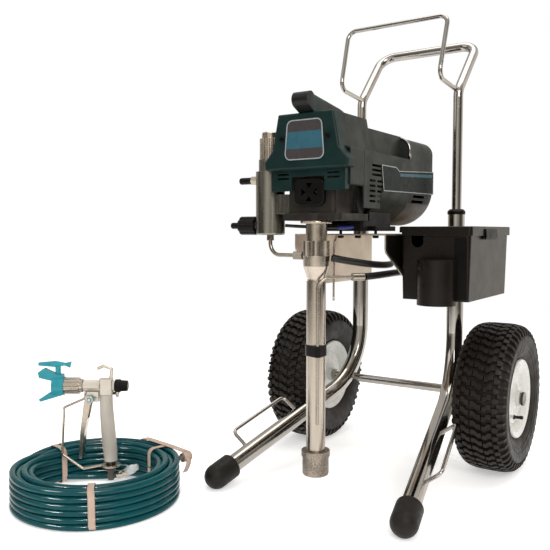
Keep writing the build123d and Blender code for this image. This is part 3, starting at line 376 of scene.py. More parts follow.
ribbon = surface("tie_ribbon", (0.56, 0.42, 0.34), (0.46, 0.34, 0.27), (0.6, 0.8),
                 patch=45, grain=1600, bump=0.8, depth=0.3, edge_wear_and_sheen=(0.66, 0.54, 0.45))
clear = surface("milky_cap", (0.60, 0.64, 0.64), (0.46, 0.50, 0.51), (0.12, 0.24),
                patch=40, bump=0.2, edge_wear_and_sheen=(0.8, 0.82, 0.82), coat=0.5)
blue_sleeve = surface("blue_sleeve", (0.02, 0.025, 0.20), (0.015, 0.018, 0.14), (0.3, 0.5),
                      patch=60, bump=0.2)
# Near black for the toolbox latch, and for the thin plate of painted shade beside the toolbox pocket.
black_and_painted_shade = surface("black_and_painted_shade", (0.003, 0.0028, 0.0025), (0.002, 0.0018, 0.0016), (0.3, 0.42),
                     patch=20, bump=0.2, edge_wear_and_sheen=(0.012, 0.011, 0.01), shine=0.12, edge=0.0002)
plate_grey = surface("plate_grey", (0.056, 0.049, 0.051), (0.050, 0.044, 0.046), (0.26, 0.38),
                     patch=30, bump=0.1, edge_wear_and_sheen=(0.12, 0.11, 0.11), wear=0.2,
                     edge=0.0002, shine=0.2)
plate_teal = surface("plate_teal", (0.034, 0.110, 0.150), (0.030, 0.098, 0.136), (0.26, 0.38),
                     patch=30, bump=0.1, edge_wear_and_sheen=(0.1, 0.2, 0.26), wear=0.2,
                     edge=0.0002, shine=0.2)
plate_dark = surface("plate_dark", (0.010, 0.016, 0.016), (0.008, 0.013, 0.013), (0.24, 0.36),
                     patch=30, bump=0.1, edge_wear_and_sheen=(0.06, 0.08, 0.08), wear=0.2,
                     edge=0.0002, shine=0.06)
plate_border = surface("plate_border", (0.34, 0.37, 0.38), (0.27, 0.30, 0.31), (0.24, 0.36),
                       patch=30, bump=0.1, edge_wear_and_sheen=(0.5, 0.52, 0.53), wear=0.2,
                       edge=0.0002)


def banded(name, node, axis, bands, rough, shine=0.3):
    """A finish whose colour changes along one axis of a node, at the given shares of its length.

    Each band is (share where it starts, colour, metallic share)."""
    n = Nodes(name)
    split = n.add("ShaderNodeSeparateXYZ")
    n.link(n.place, split.inputs["Vector"])
    low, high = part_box(node)
    along = split.outputs["XYZ".index(axis)]
    start = low["XYZ".index(axis)]
    length = high["XYZ".index(axis)] - start
    mottled = n.spread(n.noise(16, 5.0), 0.0, 1.0)
    colour = None
    metal = n.add("ShaderNodeValue")
    metal.outputs["Value"].default_value = bands[0][2]
    metal = metal.outputs["Value"]
    for share, tone, metal_share in bands:
        shade = tuple(value * 0.72 for value in tone)
        patchy = n.blend(mottled, tone, shade)
        if colour is None:
            colour = patchy
            continue
        edge = start + length * share
        inside = n.spread(along, 0.0, 1.0, edge - 0.6 * mm, edge + 0.6 * mm)
        colour = n.blend(inside, colour, patchy)
        level = n.add("ShaderNodeMix", data_type="FLOAT")
        n.link(inside, level.inputs["Factor"])
        n.link(metal, level.inputs["A"])
        level.inputs["B"].default_value = metal_share
        metal = level.outputs["Result"]
    rounded, mask = n.edges(1.5 * mm)
    broken = n.product(mask, n.spread(n.noise(130), 0.15, 0.5))
    n.link(n.blend(broken, colour, (0.16, 0.17, 0.16)), n.shader.inputs["Base Color"])
    n.link(metal, n.shader.inputs["Metallic"])
    n.link(n.spread(n.noise(40), *rough), n.shader.inputs["Roughness"])
    n.shader.inputs["Specular IOR Level"].default_value = shine
    n.relief(n.noise(900), 0.3, 0.2 * mm, rounded)
    return n.material


grip_black = (0.008, 0.007, 0.006)
cover_green = (0.006, 0.028, 0.026)
dark_grey = (0.016, 0.018, 0.016)
dark_grey_green = (0.020, 0.027, 0.024)
bare_casting = (0.13, 0.115, 0.10)
handle_finish = banded(
    "carry_handle_finish", "carry_handle", "Y",
    [(0.0, grip_black, 0.0), (0.14, cover_green, 0.0), (0.46, dark_grey, 0.0)], (0.36, 0.48),
)
# The drive casting is bare metal along its bottom flange and dark above it. That dark band is partly the
# casting's own tone and partly painted shade under the covers.
casting_with_painted_shade = banded(
    "drive_casting_with_painted_shade", "gear_housing", "Z",
    [(0.0, bare_casting, 0.8), (0.08, (0.030, 0.026, 0.022), 0.4)], (0.34, 0.50),
)
rear_cap_paint = banded(
    "rear_cap_finish", "rear_cap", "Z",
    [(0.0, (0.13, 0.125, 0.11), 0.6), (0.25, (0.013, 0.015, 0.013), 0.1), (0.46, dark_grey_green, 0.0)],
    (0.34, 0.46), shine=0.24,
)


def hose_finish():
    """Glossy deep green hose skin, with slow colour drift and faint braid showing through."""
    n = Nodes("hose_skin")
    drift = n.spread(n.noise(9, 3.0), 0.0, 1.0)
    base = n.blend(drift, (0.0010, 0.045, 0.053), (0.0014, 0.060, 0.070))
    n.link(base, n.shader.inputs["Base Color"])
    n.link(n.spread(n.noise(60), 0.13, 0.22), n.shader.inputs["Roughness"])
    n.relief(n.noise(420, 2.0), 0.12, 0.3 * mm)
    n.shader.inputs["Specular IOR Level"].default_value = 0.14
    n.shader.inputs["Coat Weight"].default_value = 0.07
    n.shader.inputs["Coat Roughness"].default_value = 0.05
    return n.material


def strainer_finish():
    """Nickel with the fine wire mesh of the inlet strainer, its cells between the wires painted darker as
    painted shade in the holes.
    """
    n = Nodes("strainer_mesh")
    wires = n.add("ShaderNodeTexVoronoi", feature="DISTANCE_TO_EDGE")
    wires.inputs["Scale"].default_value = 300
    n.link(n.place, wires.inputs["Vector"])
    metal = n.blend(n.spread(n.noise(30), 0.0, 1.0), (0.38, 0.33, 0.275), (0.28, 0.24, 0.20))
    # Painted shade: the cells between the wires are darkened as holes in the mesh.
    painted_hole_shade = n.spread(wires.outputs["Distance"], 0.0, 0.85, 0.12, 0.30)
    n.link(n.blend(painted_hole_shade, metal, (0.10, 0.085, 0.07)), n.shader.inputs["Base Color"])
    n.relief(wires.outputs["Distance"], 0.8, -0.8 * mm)
    n.link(n.spread(n.noise(90), 0.3, 0.5), n.shader.inputs["Roughness"])
    n.shader.inputs["Metallic"].default_value = 1.0
    return n.material


hose_skin = hose_finish()
strainer_mesh = strainer_finish()

finishes = {
    chrome: ["left_rail", "right_rail", "pull_handle", "axle"],
    handle_finish: ["carry_handle"],
    nickel: ["pump_body", "outlet_fitting", "gun_trigger", "trigger_guard", "guard_nut", "filter_cap"],
    brushed: ["siphon_tube"],
    olive: ["filter_housing"],
    plated: ["pump_bracket"],
    casting_with_painted_shade: ["gear_housing"],
    gun_cast: ["gun_body"],
    grip_paint: ["gun_grip"],
    steel: ["rotor", "crankshaft", "connecting_rod", "piston_rod", "inlet_ball", "outlet_ball",
            "filter_element"],
    pipe_nickel: ["return_pipe", "outlet_pipe"],
    dark_steel: ["gun_swivel", "axle_caps"],
    bronze: ["drive_gear"],
    copper: ["stator"],
    green: ["front_cover"],
    motor_green: ["motor_cover"],
    black: ["rod_cover", "control_box", "power_switch", "pressure_knob", "outlet_cap", "prime_knob",
            "tube_strap", "rail_collars", "bracket_bolts", "toolbox_bracket", "rod_packings",
            "cover_screws"],
    black_and_painted_shade: ["toolbox_latch"],
    box_black: ["toolbox", "toolbox_lid"],
    cap_rubber: ["foot_caps"],
    black_hose: ["drain_hoses"],
    enamel: ["left_rim", "right_rim"],
    teal: ["tip_guard", "spray_tip", "trigger_lock"],
    strainer_mesh: ["inlet_strainer"],
    rear_cap_paint: ["rear_cap"],
    rubber: ["left_tyre", "right_tyre"],
    hose_skin: ["hose_coil"],
    ribbon: ["hose_ties"],
}


def paint_nodes():
    """Give every CAD node its finish."""
    for finish, names in finishes.items():
        for name in names:
            mesh = nodes[name].data
            mesh.materials.clear()
            mesh.materials.append(finish)
            mesh.polygons.foreach_set("material_index", [0] * len(mesh.polygons))


paint_nodes()

# ---------------------------------------------------------------- tyres

# Half of the tyre's outline, as (across, radius) in millimetres from the crown to the bead.
tyre_outline = [
    (0, 164.8), (17, 164.8), (32, 163.6), (45, 160), (53.5, 153.5),
    (57, 143), (57.4, 130), (55.5, 113), (50, 98), (43, 88),
]
tyre_inside = [(41.5, 79), (30, 80), (-30, 80), (-41.5, 79)]
# The tread, in millimetres: its depth, how far below it the blocks are rooted, and how far from
# the crown the shoulder lugs end and the groove floor rises to the side wall.
groove = 8.0
block_root = groove + 1.5
lug_end = 70.0
lug_fade = 9.0
pitches = 50
tyre_steps = 96


def tyre_side():
    """Half of the tyre's outline, as (distance from the crown, point, outward normal)."""
    path = smooth_path([(across, radius, 0) for across, radius in tyre_outline], 6)
    rows, travelled = [], 0.0
    for index, point in enumerate(path):
        ahead = path[min(index + 1, len(path) - 1)]
        behind = path[max(index - 1, 0)]
        along = (ahead - behind).normalized()
        if index > 0:
            travelled += (point - path[index - 1]).length
        rows.append((travelled, point, Vector((-along.y, along.x, 0))))
    return rows


side_rows = tyre_side()


def on_tyre(distance, depth):
    """(across, radius) of a point at a distance from the crown and a depth under the skin."""
    hand = -1 if distance < 0 else 1
    for (start, p, p_out), (end, q, q_out) in zip(side_rows, side_rows[1:]):
        if abs(distance) <= end:
            break
    share = (abs(distance) - start) / (end - start)
    point = p.lerp(q, share) - p_out.lerp(q_out, share).normalized() * depth
    return point.x * hand, point.y


def tread_block(stations, draft=0.05):
    """One block from stations of (distance, start, end), its start and end as shares of the pitch.

    The block widens to its root by the draft, and the rows are (distance, depth, share)."""
    rows = []
    for distance, start, end in stations:
        for depth, grow in ((0.0, 0.0), (block_root, draft)):
            rows.append((distance, depth, start - grow))
            rows.append((distance, depth, end + grow))
    faces = []
    for station in range(len(stations) - 1):
        a = station * 4
        b = a + 4
        faces += [(a, a + 1, b + 1, b), (a, b, b + 2, a + 2), (a + 1, a + 3, b + 3, b + 1)]
    last = len(rows) - 4
    faces += [(0, 2, 3, 1), (last, last + 1, last + 3, last + 2)]
    return rows, faces


middle_block = [(-11, 0.02, 0.52), (-4, 0.02, 0.52), (4, 0.34, 0.84), (11, 0.34, 0.84)]
outer_block = [(13.5, 0.50, 1.0), (20, 0.50, 1.0), (25, 0.20, 0.72), (32, 0.20, 0.72)]
edge_block = [(34.5, 0.56, 1.1), (40, 0.56, 1.1), (46, 0.62, 1.04)]
shoulder_lug = [(43, 0.12, 0.46), (48, 0.12, 0.46), (58, 0.14, 0.44), (lug_end, 0.17, 0.41)]


def tyre_mesh(centre):
    """A carcass with rows of separate blocks, as vertices and faces in the row's frame."""
    def place(across, radius, turn):
        return centre + Vector((across, radius * cos(turn), radius * sin(turn))) * mm

    right_skin = [distance for distance, _, _ in side_rows]
    left_skin = [-distance for distance in reversed(right_skin[1:])]
    rings = []
    for distance in left_skin + right_skin:
        sink = groove * max(0.0, min(1.0, (lug_end + 2 - abs(distance)) / lug_fade))
        rings.append(on_tyre(distance, sink))
    rings += tyre_inside
    vertices = []
    for across, radius in rings:
        vertices += [place(across, radius, tau * step / tyre_steps) for step in range(tyre_steps)]
    faces = []
    for row in range(len(rings)):
        a = row * tyre_steps
        b = (row + 1) % len(rings) * tyre_steps
        for step in range(tyre_steps):
            following = (step + 1) % tyre_steps
            faces.append((a + step, a + following, b + following, b + step))
    blocks = []
    one_side = [outer_block, edge_block, shoulder_lug]
    other_side = [[(-distance, start, end) for distance, start, end in block] for block in one_side]
    kinds = [(block, 0.0) for block in [middle_block] + one_side] + [(block, 0.5) for block in other_side]
    for pitch in range(pitches):
        for stations, shift in kinds:
            rows, block_faces = tread_block(stations)
            corners = []
            for distance, depth, share in rows:
                across, radius = on_tyre(distance, depth)
                corners.append(place(across, radius, tau * (pitch + share + shift) / pitches))
            blocks.append((corners, block_faces))
    return joined((vertices, faces), *blocks)


def side_lines(centre, hand):
    """Two thin raised rings on the tyre's outer wall."""
    proud = 0.1
    rings = []
    for distance in (92.0, 102.0):
        across, radius = on_tyre(distance, -proud)
        path = []
        for step in range(tyre_steps + 1):
            turn = tau * step / tyre_steps
            path.append(centre + Vector((hand * across, radius * cos(turn), radius * sin(turn))) * mm)
        rings.append(tube_mesh(path, 0.7 * mm, 6, closed_ends=False))
    return rings


def valve(centre, hand):
    """The tyre's valve stem, standing out of the rim's small hole."""
    behind_disc, below_hub, length, rise = 32 * mm, 44 * mm, 24 * mm, 1.5 * mm
    foot = centre + Vector((hand * behind_disc, 0, -below_hub))
    tip = foot + Vector((hand * length, 0, rise))
    profile = [(0, 5.0), (5, 5.0), (7, 3.6), (16.5, 3.3), (17, 4.0), (23, 4.0), (24, 3.2)]
    return turned(in_mm(profile), foot, tip - foot, 20)


for hand, name in ((-1, "left"), (1, "right")):
    hub = middle(f"{name}_tyre")
    carcass = joined(tyre_mesh(hub), *side_lines(hub, hand))
    tyre = piece(f"{name}_tyre_rubber", *carcass, rubber, f"{name}_wheel", False)
    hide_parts(f"{name}_tyre")
    piece(f"{name}_valve", *valve(hub, hand), cap_rubber, f"{name}_wheel")

# ---------------------------------------------------------------- hose

coil_low, coil_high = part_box("hose_coil")
coil_centre = Vector(((coil_low.x + coil_high.x) / 2, (coil_low.y + coil_high.y) / 2, 0))
coil_outer = (coil_high.x - coil_low.x) / 2
hose_radius = 6.25 * mm
column_step = 11.5 * mm
row_step = 12.6 * mm
columns = 4
rows = 6
bundle_width = 48 * mm
bundle_top = 76.3 * mm
bundle_low = 1.5 * mm
floor_gap = 0.8 * mm
edge_gap = 1.6 * mm
turn_steps = 72
leave_at = radians(165)  # where the hose steps over to its next turn, and at last leaves the coil
step_over = 0.18  # the share of a turn that a step takes


def coil_turns():
    """The (radius, height) of each turn, wound column by column from the outside bottom."""
    turns = []
    for column in range(columns):
        raised = column % 2
        lowest = hose_radius + floor_gap + row_step * raised / 2
        heights = [lowest + row_step * row for row in range(rows - raised)]
        if raised:
            heights.reverse()
        radius = coil_outer - hose_radius - edge_gap - column_step * column
        turns += [(radius, height) for height in heights]
    return turns


def coil_path():
    """The hose's middle line: level turns, with a short climb from each to the next."""
    turns = coil_turns()
    path = []
    for index, (radius, height) in enumerate(turns):
        following = turns[min(index + 1, len(turns) - 1)]
        for step in range(turn_steps):
            share = step / turn_steps
            climb = min(1.0, max(0.0, (share - (1 - step_over)) / step_over))
            climb = climb * climb * (3 - 2 * climb)
            angle = leave_at - tau * share
            wander = 1.0 * sin(2 * angle + 0.7) + 0.5 * sin(5 * angle + index * 1.9)
            lift = 0.4 * sin(3 * angle + index * 2.3)
            size = radius + (following[0] - radius) * climb + wander * mm
            up = max(hose_radius + 0.3 * mm, height + (following[1] - height) * climb + lift * mm)
            path.append(coil_centre + Vector((size * cos(angle), size * sin(angle), up)))
    return path


def from_coil(*places):
    """Points given in millimetres from the middle of the coil on the floor."""
    return [coil_centre + Vector(place) * mm for place in places]


winding = coil_path()
# The last stretch bends in from the coil to the end fitting beside the gun.
loose = [winding[-1]] + from_coil((-92, 60, 8.5), (-62, 82, 9), (-34, 93, 14))
hose_line = winding + smooth_path(loose, 10)[1:]
hose = piece("hose", *tube_mesh(hose_line, hose_radius, 14), hose_skin, "hose")
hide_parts("hose_coil")


def end_fitting():
    """The crimped ferrule, the hexagon nut and the milky transport cap on the hose's end."""
    start = loose[-1]
    along = Vector((52, 11, 27)).normalized()
    ferrule_profile = [(-4, 7.0), (-3, 7.8), (3, 7.2), (5, 7.8), (13, 7.2), (14, 6)]
    nut_profile = [(14, 8.4), (15, 9.2), (23, 9.2), (24, 8.4)]
    cap_profile = [(24, 7.5), (25, 9.8), (40, 9.2), (41, 8.2), (41, 7.0), (50, 6.6), (51, 5.8)]
    ferrule = turned(in_mm(ferrule_profile), start, along, 28)
    nut = turned(in_mm(nut_profile), start, along, 6)
    cap = turned(in_mm(cap_profile), start, along, 48, lambda _, turn: 1 + 0.03 * cos(12 * turn))
    piece("hose_ferrule", *joined(ferrule, nut), nickel, "hose")
    piece("hose_end_cap", *cap, clear, "hose")


end_fitting()


def bundle_loop(angle, slack):
    """A closed outline round the bundle at one angle, hugging the outer turns."""
    corner = 12 * mm
    outer_x = coil_outer - corner
    inner_x = coil_outer - bundle_width + corner
    top = bundle_top - corner
    low = bundle_low + corner
    arcs = ((outer_x, top, 0.0), (inner_x, top, 90.0), (inner_x, low, 180.0), (outer_x, low, 270.0))
    across = Vector((cos(angle), sin(angle), 0))
    loop = []
    for x, z, start in arcs:
        for step in range(7):
            turn = radians(start + 90 * step / 6)
            reach = corner + slack
            outward = coil_centre + across * (x + reach * cos(turn))
            loop.append(outward + Vector((0, 0, z + reach * sin(turn))))
    return loop


def band(loop, sideways, thickness, closed=True, lean=0.0):
    """A flat strip with rounded edges that follows a line, as vertices and faces."""
    offsets = ((-1, 0.3), (-0.8, 1), (0.8, 1), (1, 0.3), (0.8, 0), (-0.8, 0))
    vertices, faces = [], []
    count = len(loop)
    for index, point in enumerate(loop):
        ahead = loop[(index + 1) % count] if closed else loop[min(index + 1, count - 1)]
        behind = loop[index - 1] if closed else loop[max(index - 1, 0)]
        along = (ahead - behind).normalized()
        out = along.cross(sideways).normalized()
        drift = sideways.normalized() * (lean * sin(tau * index / count))
        for side, proud in offsets:
            vertices.append(point + drift + sideways * side + out * (thickness * proud))
    corners = len(offsets)
    for index in range(count if closed else count - 1):
        following = (index + 1) % count
        for corner in range(corners):
            after = (corner + 1) % corners
            faces.append((
                index * corners + corner, index * corners + after,
                following * corners + after, following * corners + corner,
            ))
    if not closed:
        faces += [tuple(range(corners)), tuple(range(len(vertices) - corners, len(vertices)))]
    return vertices, faces


tie_degrees = (-45, 73, 172)


def ties():
    """The three ribbons round the hose."""
    parts = []
    for index, degrees in enumerate(tie_degrees):
        angle = radians(degrees)
        sideways = Vector((-sin(angle), cos(angle), 0)) * (6.5 * mm)
        lean = (index - 1) * 1.5 * mm
        parts.append(band(bundle_loop(angle, 0.2 * mm), sideways, -0.9 * mm, lean=lean))
    made = piece("hose_ribbons", *joined(*parts), ribbon, "hose")
    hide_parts("hose_ties")


def tie_tail():
    """The loose tail of one ribbon: a strip over the bundle, a roll, and a hanging end."""
    over = 78.2
    places = ((-32, 166, 70), (-24, 162, over), (20, 157, over), (70, 149, over), (112, 141, over - 0.5))
    tail = smooth_path(from_coil(*places), 5)
    end = tail[-1]
    along = (end - tail[-2]).normalized()
    sideways = Vector((-along.y, along.x, 0)) * (8 * mm)
    strip = band(tail, sideways, 0.8 * mm, closed=False)
    roll_radius = 10.5 * mm
    roll_steps = 64
    roll = []
    for step in range(roll_steps):
        turn = 0.32 * step
        size = roll_radius - 0.12 * mm * step
        roll.append(end + along * (size * sin(turn)) + Vector((0, 0, size * cos(turn) - roll_radius)))
    loose_end = smooth_path([
        end + along * (reach * mm) - Vector((0, 0, drop * mm))
        for reach, drop in ((10.5, 9), (9.5, 22), (4, 34), (-3, 44))
    ], 5)
    rolled = band(roll, sideways * 1.2, 0.5 * mm, closed=False)
    hanging = band(loose_end, sideways * 0.8, 0.6 * mm, closed=False)
    piece("tie_tail", *joined(strip, rolled, hanging), ribbon, "hose")


ties()
tie_tail()

# ---------------------------------------------------------------- motor and covers

cap_low, cap_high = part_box("rear_cap")
cap_half = (cap_high.x - cap_low.x) / 2
cap_middle = (cap_low.x + cap_high.x) / 2
cap_corner = 28 * mm
ledge = cap_low.z + 141 * mm  # the height where the trim ring ends on each flank


def shoulder_line(proud):
    """The rear cap's outline from the right ledge over the top to the left one."""
    reach = cap_corner + proud
    right = []
    turn_x = cap_half - cap_corner
    turn_z = cap_high.z - cap_corner
    for step in range(9):
        angle = radians(90 * step / 8)
        right.append((turn_x + reach * cos(angle), turn_z + reach * sin(angle)))
    right = [(cap_half + proud, ledge)] + right
    left = [(-x, z) for x, z in reversed(right)]
    return [Vector((cap_middle + x, 0, z)) for x, z in right + left]


def trim_ring():
    """The bright double ring between the motor cover and the rear cap, as far as it shows."""
    joint = cap_low.y
    profile = [
        (-7.0, -3.0), (-6.8, 1.2), (-4.6, 1.6), (-4.0, 0.4),
        (-3.0, 0.4), (-2.4, 1.6), (-0.4, 1.3), (-0.2, -3.0),
    ]
    vertices, faces = [], []
    for back, proud in profile:
        vertices += [point + Vector((0, joint + back * mm, 0)) for point in shoulder_line(proud * mm)]
    count = len(shoulder_line(0))
    for row in range(len(profile)):
        below = (row + 1) % len(profile)
        for step in range(count - 1):
            faces.append((
                row * count + step, row * count + step + 1, below * count + step + 1, below * count + step,
            ))
    faces.append(tuple(row * count for row in range(len(profile))))
    faces.append(tuple(row * count + count - 1 for row in range(len(profile))))
    piece("motor_trim_ring", vertices, faces, chrome, "frame")
    wall = [(point.x, point.z) for point in shoulder_line(0)]
    origin = Vector((0, joint - 4.5 * mm, 0))
    flange = plate(wall, origin, Vector((1, 0, 0)), Vector((0, 0, 1)), 1.2 * mm)
    piece("trim_ring_wall", *flange, motor_green, "frame", False)


trim_ring()


def rounded_outline(half_low, half_high, low, high, corner, steps=5):
    """A plate's outline, wider at the bottom than at the top, with rounded corners."""
    outline = []
    for x, z, start in (
        (half_low - corner, low + corner, -90), (half_high - corner, high - corner, 0),
        (-half_high + corner, high - corner, 90), (-half_low + corner, low + corner, 180),
    ):
        for step in range(steps + 1):
            angle = radians(start + 90 * step / steps)
            outline.append((x + corner * cos(angle), z + corner * sin(angle)))
    return outline


def badge():
    """A plain rounded plate on the front cover, with a light border and no mark on it."""
    face_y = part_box("cover_screws")[1].y
    origin = Vector((middle("front_cover").x, face_y, 0))
    right, up = Vector((1, 0, 0)), Vector((0, 0, 1))
    outline = in_mm(rounded_outline(43, 39, 669, 744, 12))
    stripe_outline = in_mm(rounded_outline(40, 38, 690, 722, 3))
    thickness = 1.0 * mm
    made = piece("badge_plate", *plate(outline, origin, right, up, thickness), plate_grey, "frame", False)
    soften(made, 0.3 * mm)
    face = origin - Vector((0, thickness, 0))
    stripe = plate(stripe_outline, face, right, up, 0.2 * mm)
    piece("badge_stripe", *stripe, plate_teal, "frame", False)
    border = framed_plate(outline, 2.2 * mm, face, right, up, 0.5 * mm)
    piece("badge_border", *border, plate_border, "frame", False)


def side_plate():
    """A plain notched plate along the motor's right flank, with a thin light border."""
    flank = cap_high.x + 0.1 * mm
    outline = in_mm([
        (-20, 620), (-20, 672), (-198, 662), (-210, 661), (-226, 668), (-295, 668), (-285, 616),
    ])
    stripe_outline = in_mm([(-28, 658), (-28, 665), (-206, 656), (-205, 650)])
    origin = Vector((flank, cart_zero.y, 0))
    right, up = Vector((0, 1, 0)), Vector((0, 0, 1))
    thickness = 1.2 * mm
    piece("side_plate", *plate(outline, origin, right, up, thickness), plate_dark, "frame", False)
    face = origin + Vector((thickness, 0, 0))
    border = framed_plate(outline, 1.8 * mm, face, right, up, 0.4 * mm)
    piece("side_plate_border", *border, plate_border, "frame", False)
    stripe = plate(stripe_outline, face, right, up, 0.2 * mm)
    piece("side_plate_stripe", *stripe, plate_teal, "frame", False)


def pump_ring():
    """The bright notched ring that locks the pump under the drive's foot plate."""
    pump = middle("pump_body")
    foot = Vector((pump.x, pump.y, cart(0, 0, 550).z))
    profile = in_mm([(0, 23.5), (0, 29), (0.8, 30.5), (4.6, 30.5), (5.4, 29), (5.4, 23.5)])
    ring = turned(profile, foot, Vector((0, 0, 1)), 120, lambda _, turn: 1 + 0.012 * cos(20 * turn))
    piece("pump_lock_ring", *ring, nickel, "frame")


def toolbox_recess_shade():
    """A thin dark plate beside the round pocket: painted shade in the recess there."""
    slope = radians(1.5)  # the toolbox narrows downward by this much
    box_top, strip_bottom = 533, 404
    foot = cart(239.5, -273.4 + (box_top - strip_bottom) * sin(slope), strip_bottom)
    right = Vector((1, 0, 0))
    up = Vector((0, -sin(slope), cos(slope)))
    half, tall = 12 * mm, 118 * mm
    outline = [(-half, 0), (half, 0), (half, tall), (-half, tall)]
    made = piece("toolbox_painted_shade_plate", *plate(outline, foot, right, up, 0.5 * mm), black_and_painted_shade, "frame", False)
    soften(made, 0.2 * mm)


badge()
side_plate()
pump_ring()
toolbox_recess_shade()

# ---------------------------------------------------------------- gun details

gun_heading = radians(214)
gun_forward = Vector((cos(gun_heading), sin(gun_heading), 0))
gun_across = Vector((gun_forward.y, -gun_forward.x, 0))
gun_base = cart(-407, -577, 0)
barrel_height = middle("guard_nut").z / mm


def gun_point(forward, height):
    """A place in the gun's middle plane, millimetres forward of the grip and above the floor."""
    return gun_base + gun_forward * (forward * mm) + Vector((0, 0, height * mm))


def gun_knob():
    """The fluted black plug at the rear of the gun, and the small thumb wheel below it."""
    profile = in_mm([
        (0, 10.5), (0.8, 13.6), (10, 13.6), (11, 12.6), (12, 11.6), (25, 10.8), (26.5, 9.6), (26.6, 6),
    ])
    plug = turned(
        profile, gun_point(-19.2, barrel_height), -gun_forward, 60,
        lambda along, turn: 1 + 0.035 * cos(12 * turn) if along > 0.9 * mm else 1,
    )
    piece("gun_rear_plug", *plug, black, "gun")
    profile = in_mm([(0, 3), (9, 3), (9.2, 6.5), (10, 7.4), (14, 7.4), (15, 6.5), (15, 2)])
    wheel = turned(
        profile, gun_point(-12, 198), -gun_forward, 40,
        lambda along, turn: 1 + 0.03 * cos(20 * turn) if along > 9 * mm else 1,
    )
    piece("gun_thumb_wheel", *wheel, nickel, "gun")


def lock_disc():
    """The bright ring and teal middle on the face of the trigger lock."""
    out = -gun_across
    face = middle("trigger_lock") + out * (2.5 * mm)
    ring_profile = in_mm([(-0.2, 4.6), (0.9, 4.8), (0.9, 7.8), (0.2, 8.0), (-0.2, 8.0)])
    button_profile = in_mm([(-0.2, 4.8), (1.2, 4.4), (1.6, 3.0)])
    for name, profile, finish in (("ring", ring_profile, enamel), ("button", button_profile, teal)):
        piece(f"trigger_lock_{name}", *turned(profile, face, out, 32), finish, "trigger_lock")


gun_knob()
lock_disc()

# ---------------------------------------------------------------- cables and rod


def cable():
    """The pressure sensor's cable behind the pump, with its blue sleeve."""
    places = ((-82, -391, 547), (-50, -378, 545), (5, -352, 543), (55, -312, 546))
    line = smooth_path([cart(*place) for place in places], 8)
    piece("sensor_cable", *tube_mesh(line, 3.4 * mm, 12), black_hose, "frame")
    sleeve = smooth_path([cart(*p) for p in ((14, -347, 543), (30, -334, 543.5), (44, -322, 544.5))], 6)
    piece("sensor_cable_sleeve", *tube_mesh(sleeve, 4.4 * mm, 14), blue_sleeve, "frame")


cable()


def pail_rod():
    """The thin rod that hangs under the bracket."""
    places = ((-12, -306, 526), (-12, -314, 505), (-12, -316, 440), (-12, -316, 393))
    line = smooth_path([cart(*place) for place in places], 6)
    piece("pail_rod", *tube_mesh(line, 2.2 * mm, 10), nickel, "frame")


pail_rod()

# ---------------------------------------------------------------- studio


floor_half = 12
floor_glow = 0.42  # keeps the paper near white where no shadow falls
floor_fade = (1.2, 3.5)  # where the floor starts to clear, and where it has gone


def floor():
    """A plain pale floor that fades into the background away from the object."""
    size = floor_half
    mesh = bpy.data.meshes.new("floor")
    corners = [(-size, -size, 0), (size, -size, 0), (size, size, 0), (-size, size, 0)]
    mesh.from_pydata(corners, [], [(0, 1, 2, 3)])
    made = bpy.data.objects.new("floor", mesh)
    scene.collection.objects.link(made)
    n = Nodes("floor_paper")
    n.link(
        n.blend(n.spread(n.noise(3), 0.0, 1.0), (0.95, 0.95, 0.95), (0.93, 0.93, 0.93)),
        n.shader.inputs["Base Color"],
    )
    n.shader.inputs["Roughness"].default_value = 0.9
    n.shader.inputs["Emission Color"].default_value = (1, 1, 1, 1)
    n.shader.inputs["Emission Strength"].default_value = floor_glow
    away = n.add("ShaderNodeVectorMath", operation="LENGTH")
    n.link(n.place, away.inputs[0])
    fade = n.spread(away.outputs["Value"], 0.0, 1.0, *floor_fade)
    through = n.add("ShaderNodeBsdfTransparent")
    mixed = n.add("ShaderNodeMixShader")
    n.link(fade, mixed.inputs["Fac"])
    n.link(n.shader.outputs["BSDF"], mixed.inputs[1])
    n.link(through.outputs["BSDF"], mixed.inputs[2])
    n.link(mixed.outputs["Shader"], n.tree.nodes["Material Output"].inputs["Surface"])
    mesh.materials.append(n.material)


def area_light(name, place, target, size, power, height=None):
    """A soft square lamp, or a rectangular one when it's given its own height."""
    light = bpy.data.lights.new(name, "AREA")
    light.size = size
    light.energy = power
    light.color = (1.0, 0.965, 0.925)
    if height:
        light.shape = "RECTANGLE"
        light.size_y = height
    lamp = bpy.data.objects.new(name, light)
    lamp.location = place
    lamp.rotation_euler = (Vector(target) - Vector(place)).to_track_quat("-Z", "Y").to_euler()
    scene.collection.objects.link(lamp)
    return lamp


def hose_highlights():
    """Two wide lamps that only put long highlights on the hose."""
    lit = bpy.data.collections.new("highlighted")
    lit.objects.link(hose)
    for name, place in (("left_strip", (-0.9, -3.2, 2.0)), ("right_strip", (1.5, -2.6, 2.0))):
        lamp = area_light(name, place, (-0.25, -0.3, 0.1), size=1.1, power=210, height=0.25)
        lamp.visible_diffuse = False
        lamp.light_linking.receiver_collection = lit


# What polished metal sees round it: the angle from the camera's line of sight in degrees, clockwise
# from above, and the brightness there.
surround = [
    (-180, 0.55), (-158, 0.95), (-138, 0.55), (-118, 0.10), (-85, 0.05), (-62, 0.25), (-40, 0.7), (0, 0.7),
    (40, 0.5), (56, 1.15), (84, 1.15), (100, 0.3), (130, 0.08), (180, 0.55),
]
even_above = (0.35, 0.85)  # the climb of a view, from level 0 to straight up 1, where the bands fade out
camera_heading = radians(33.97)


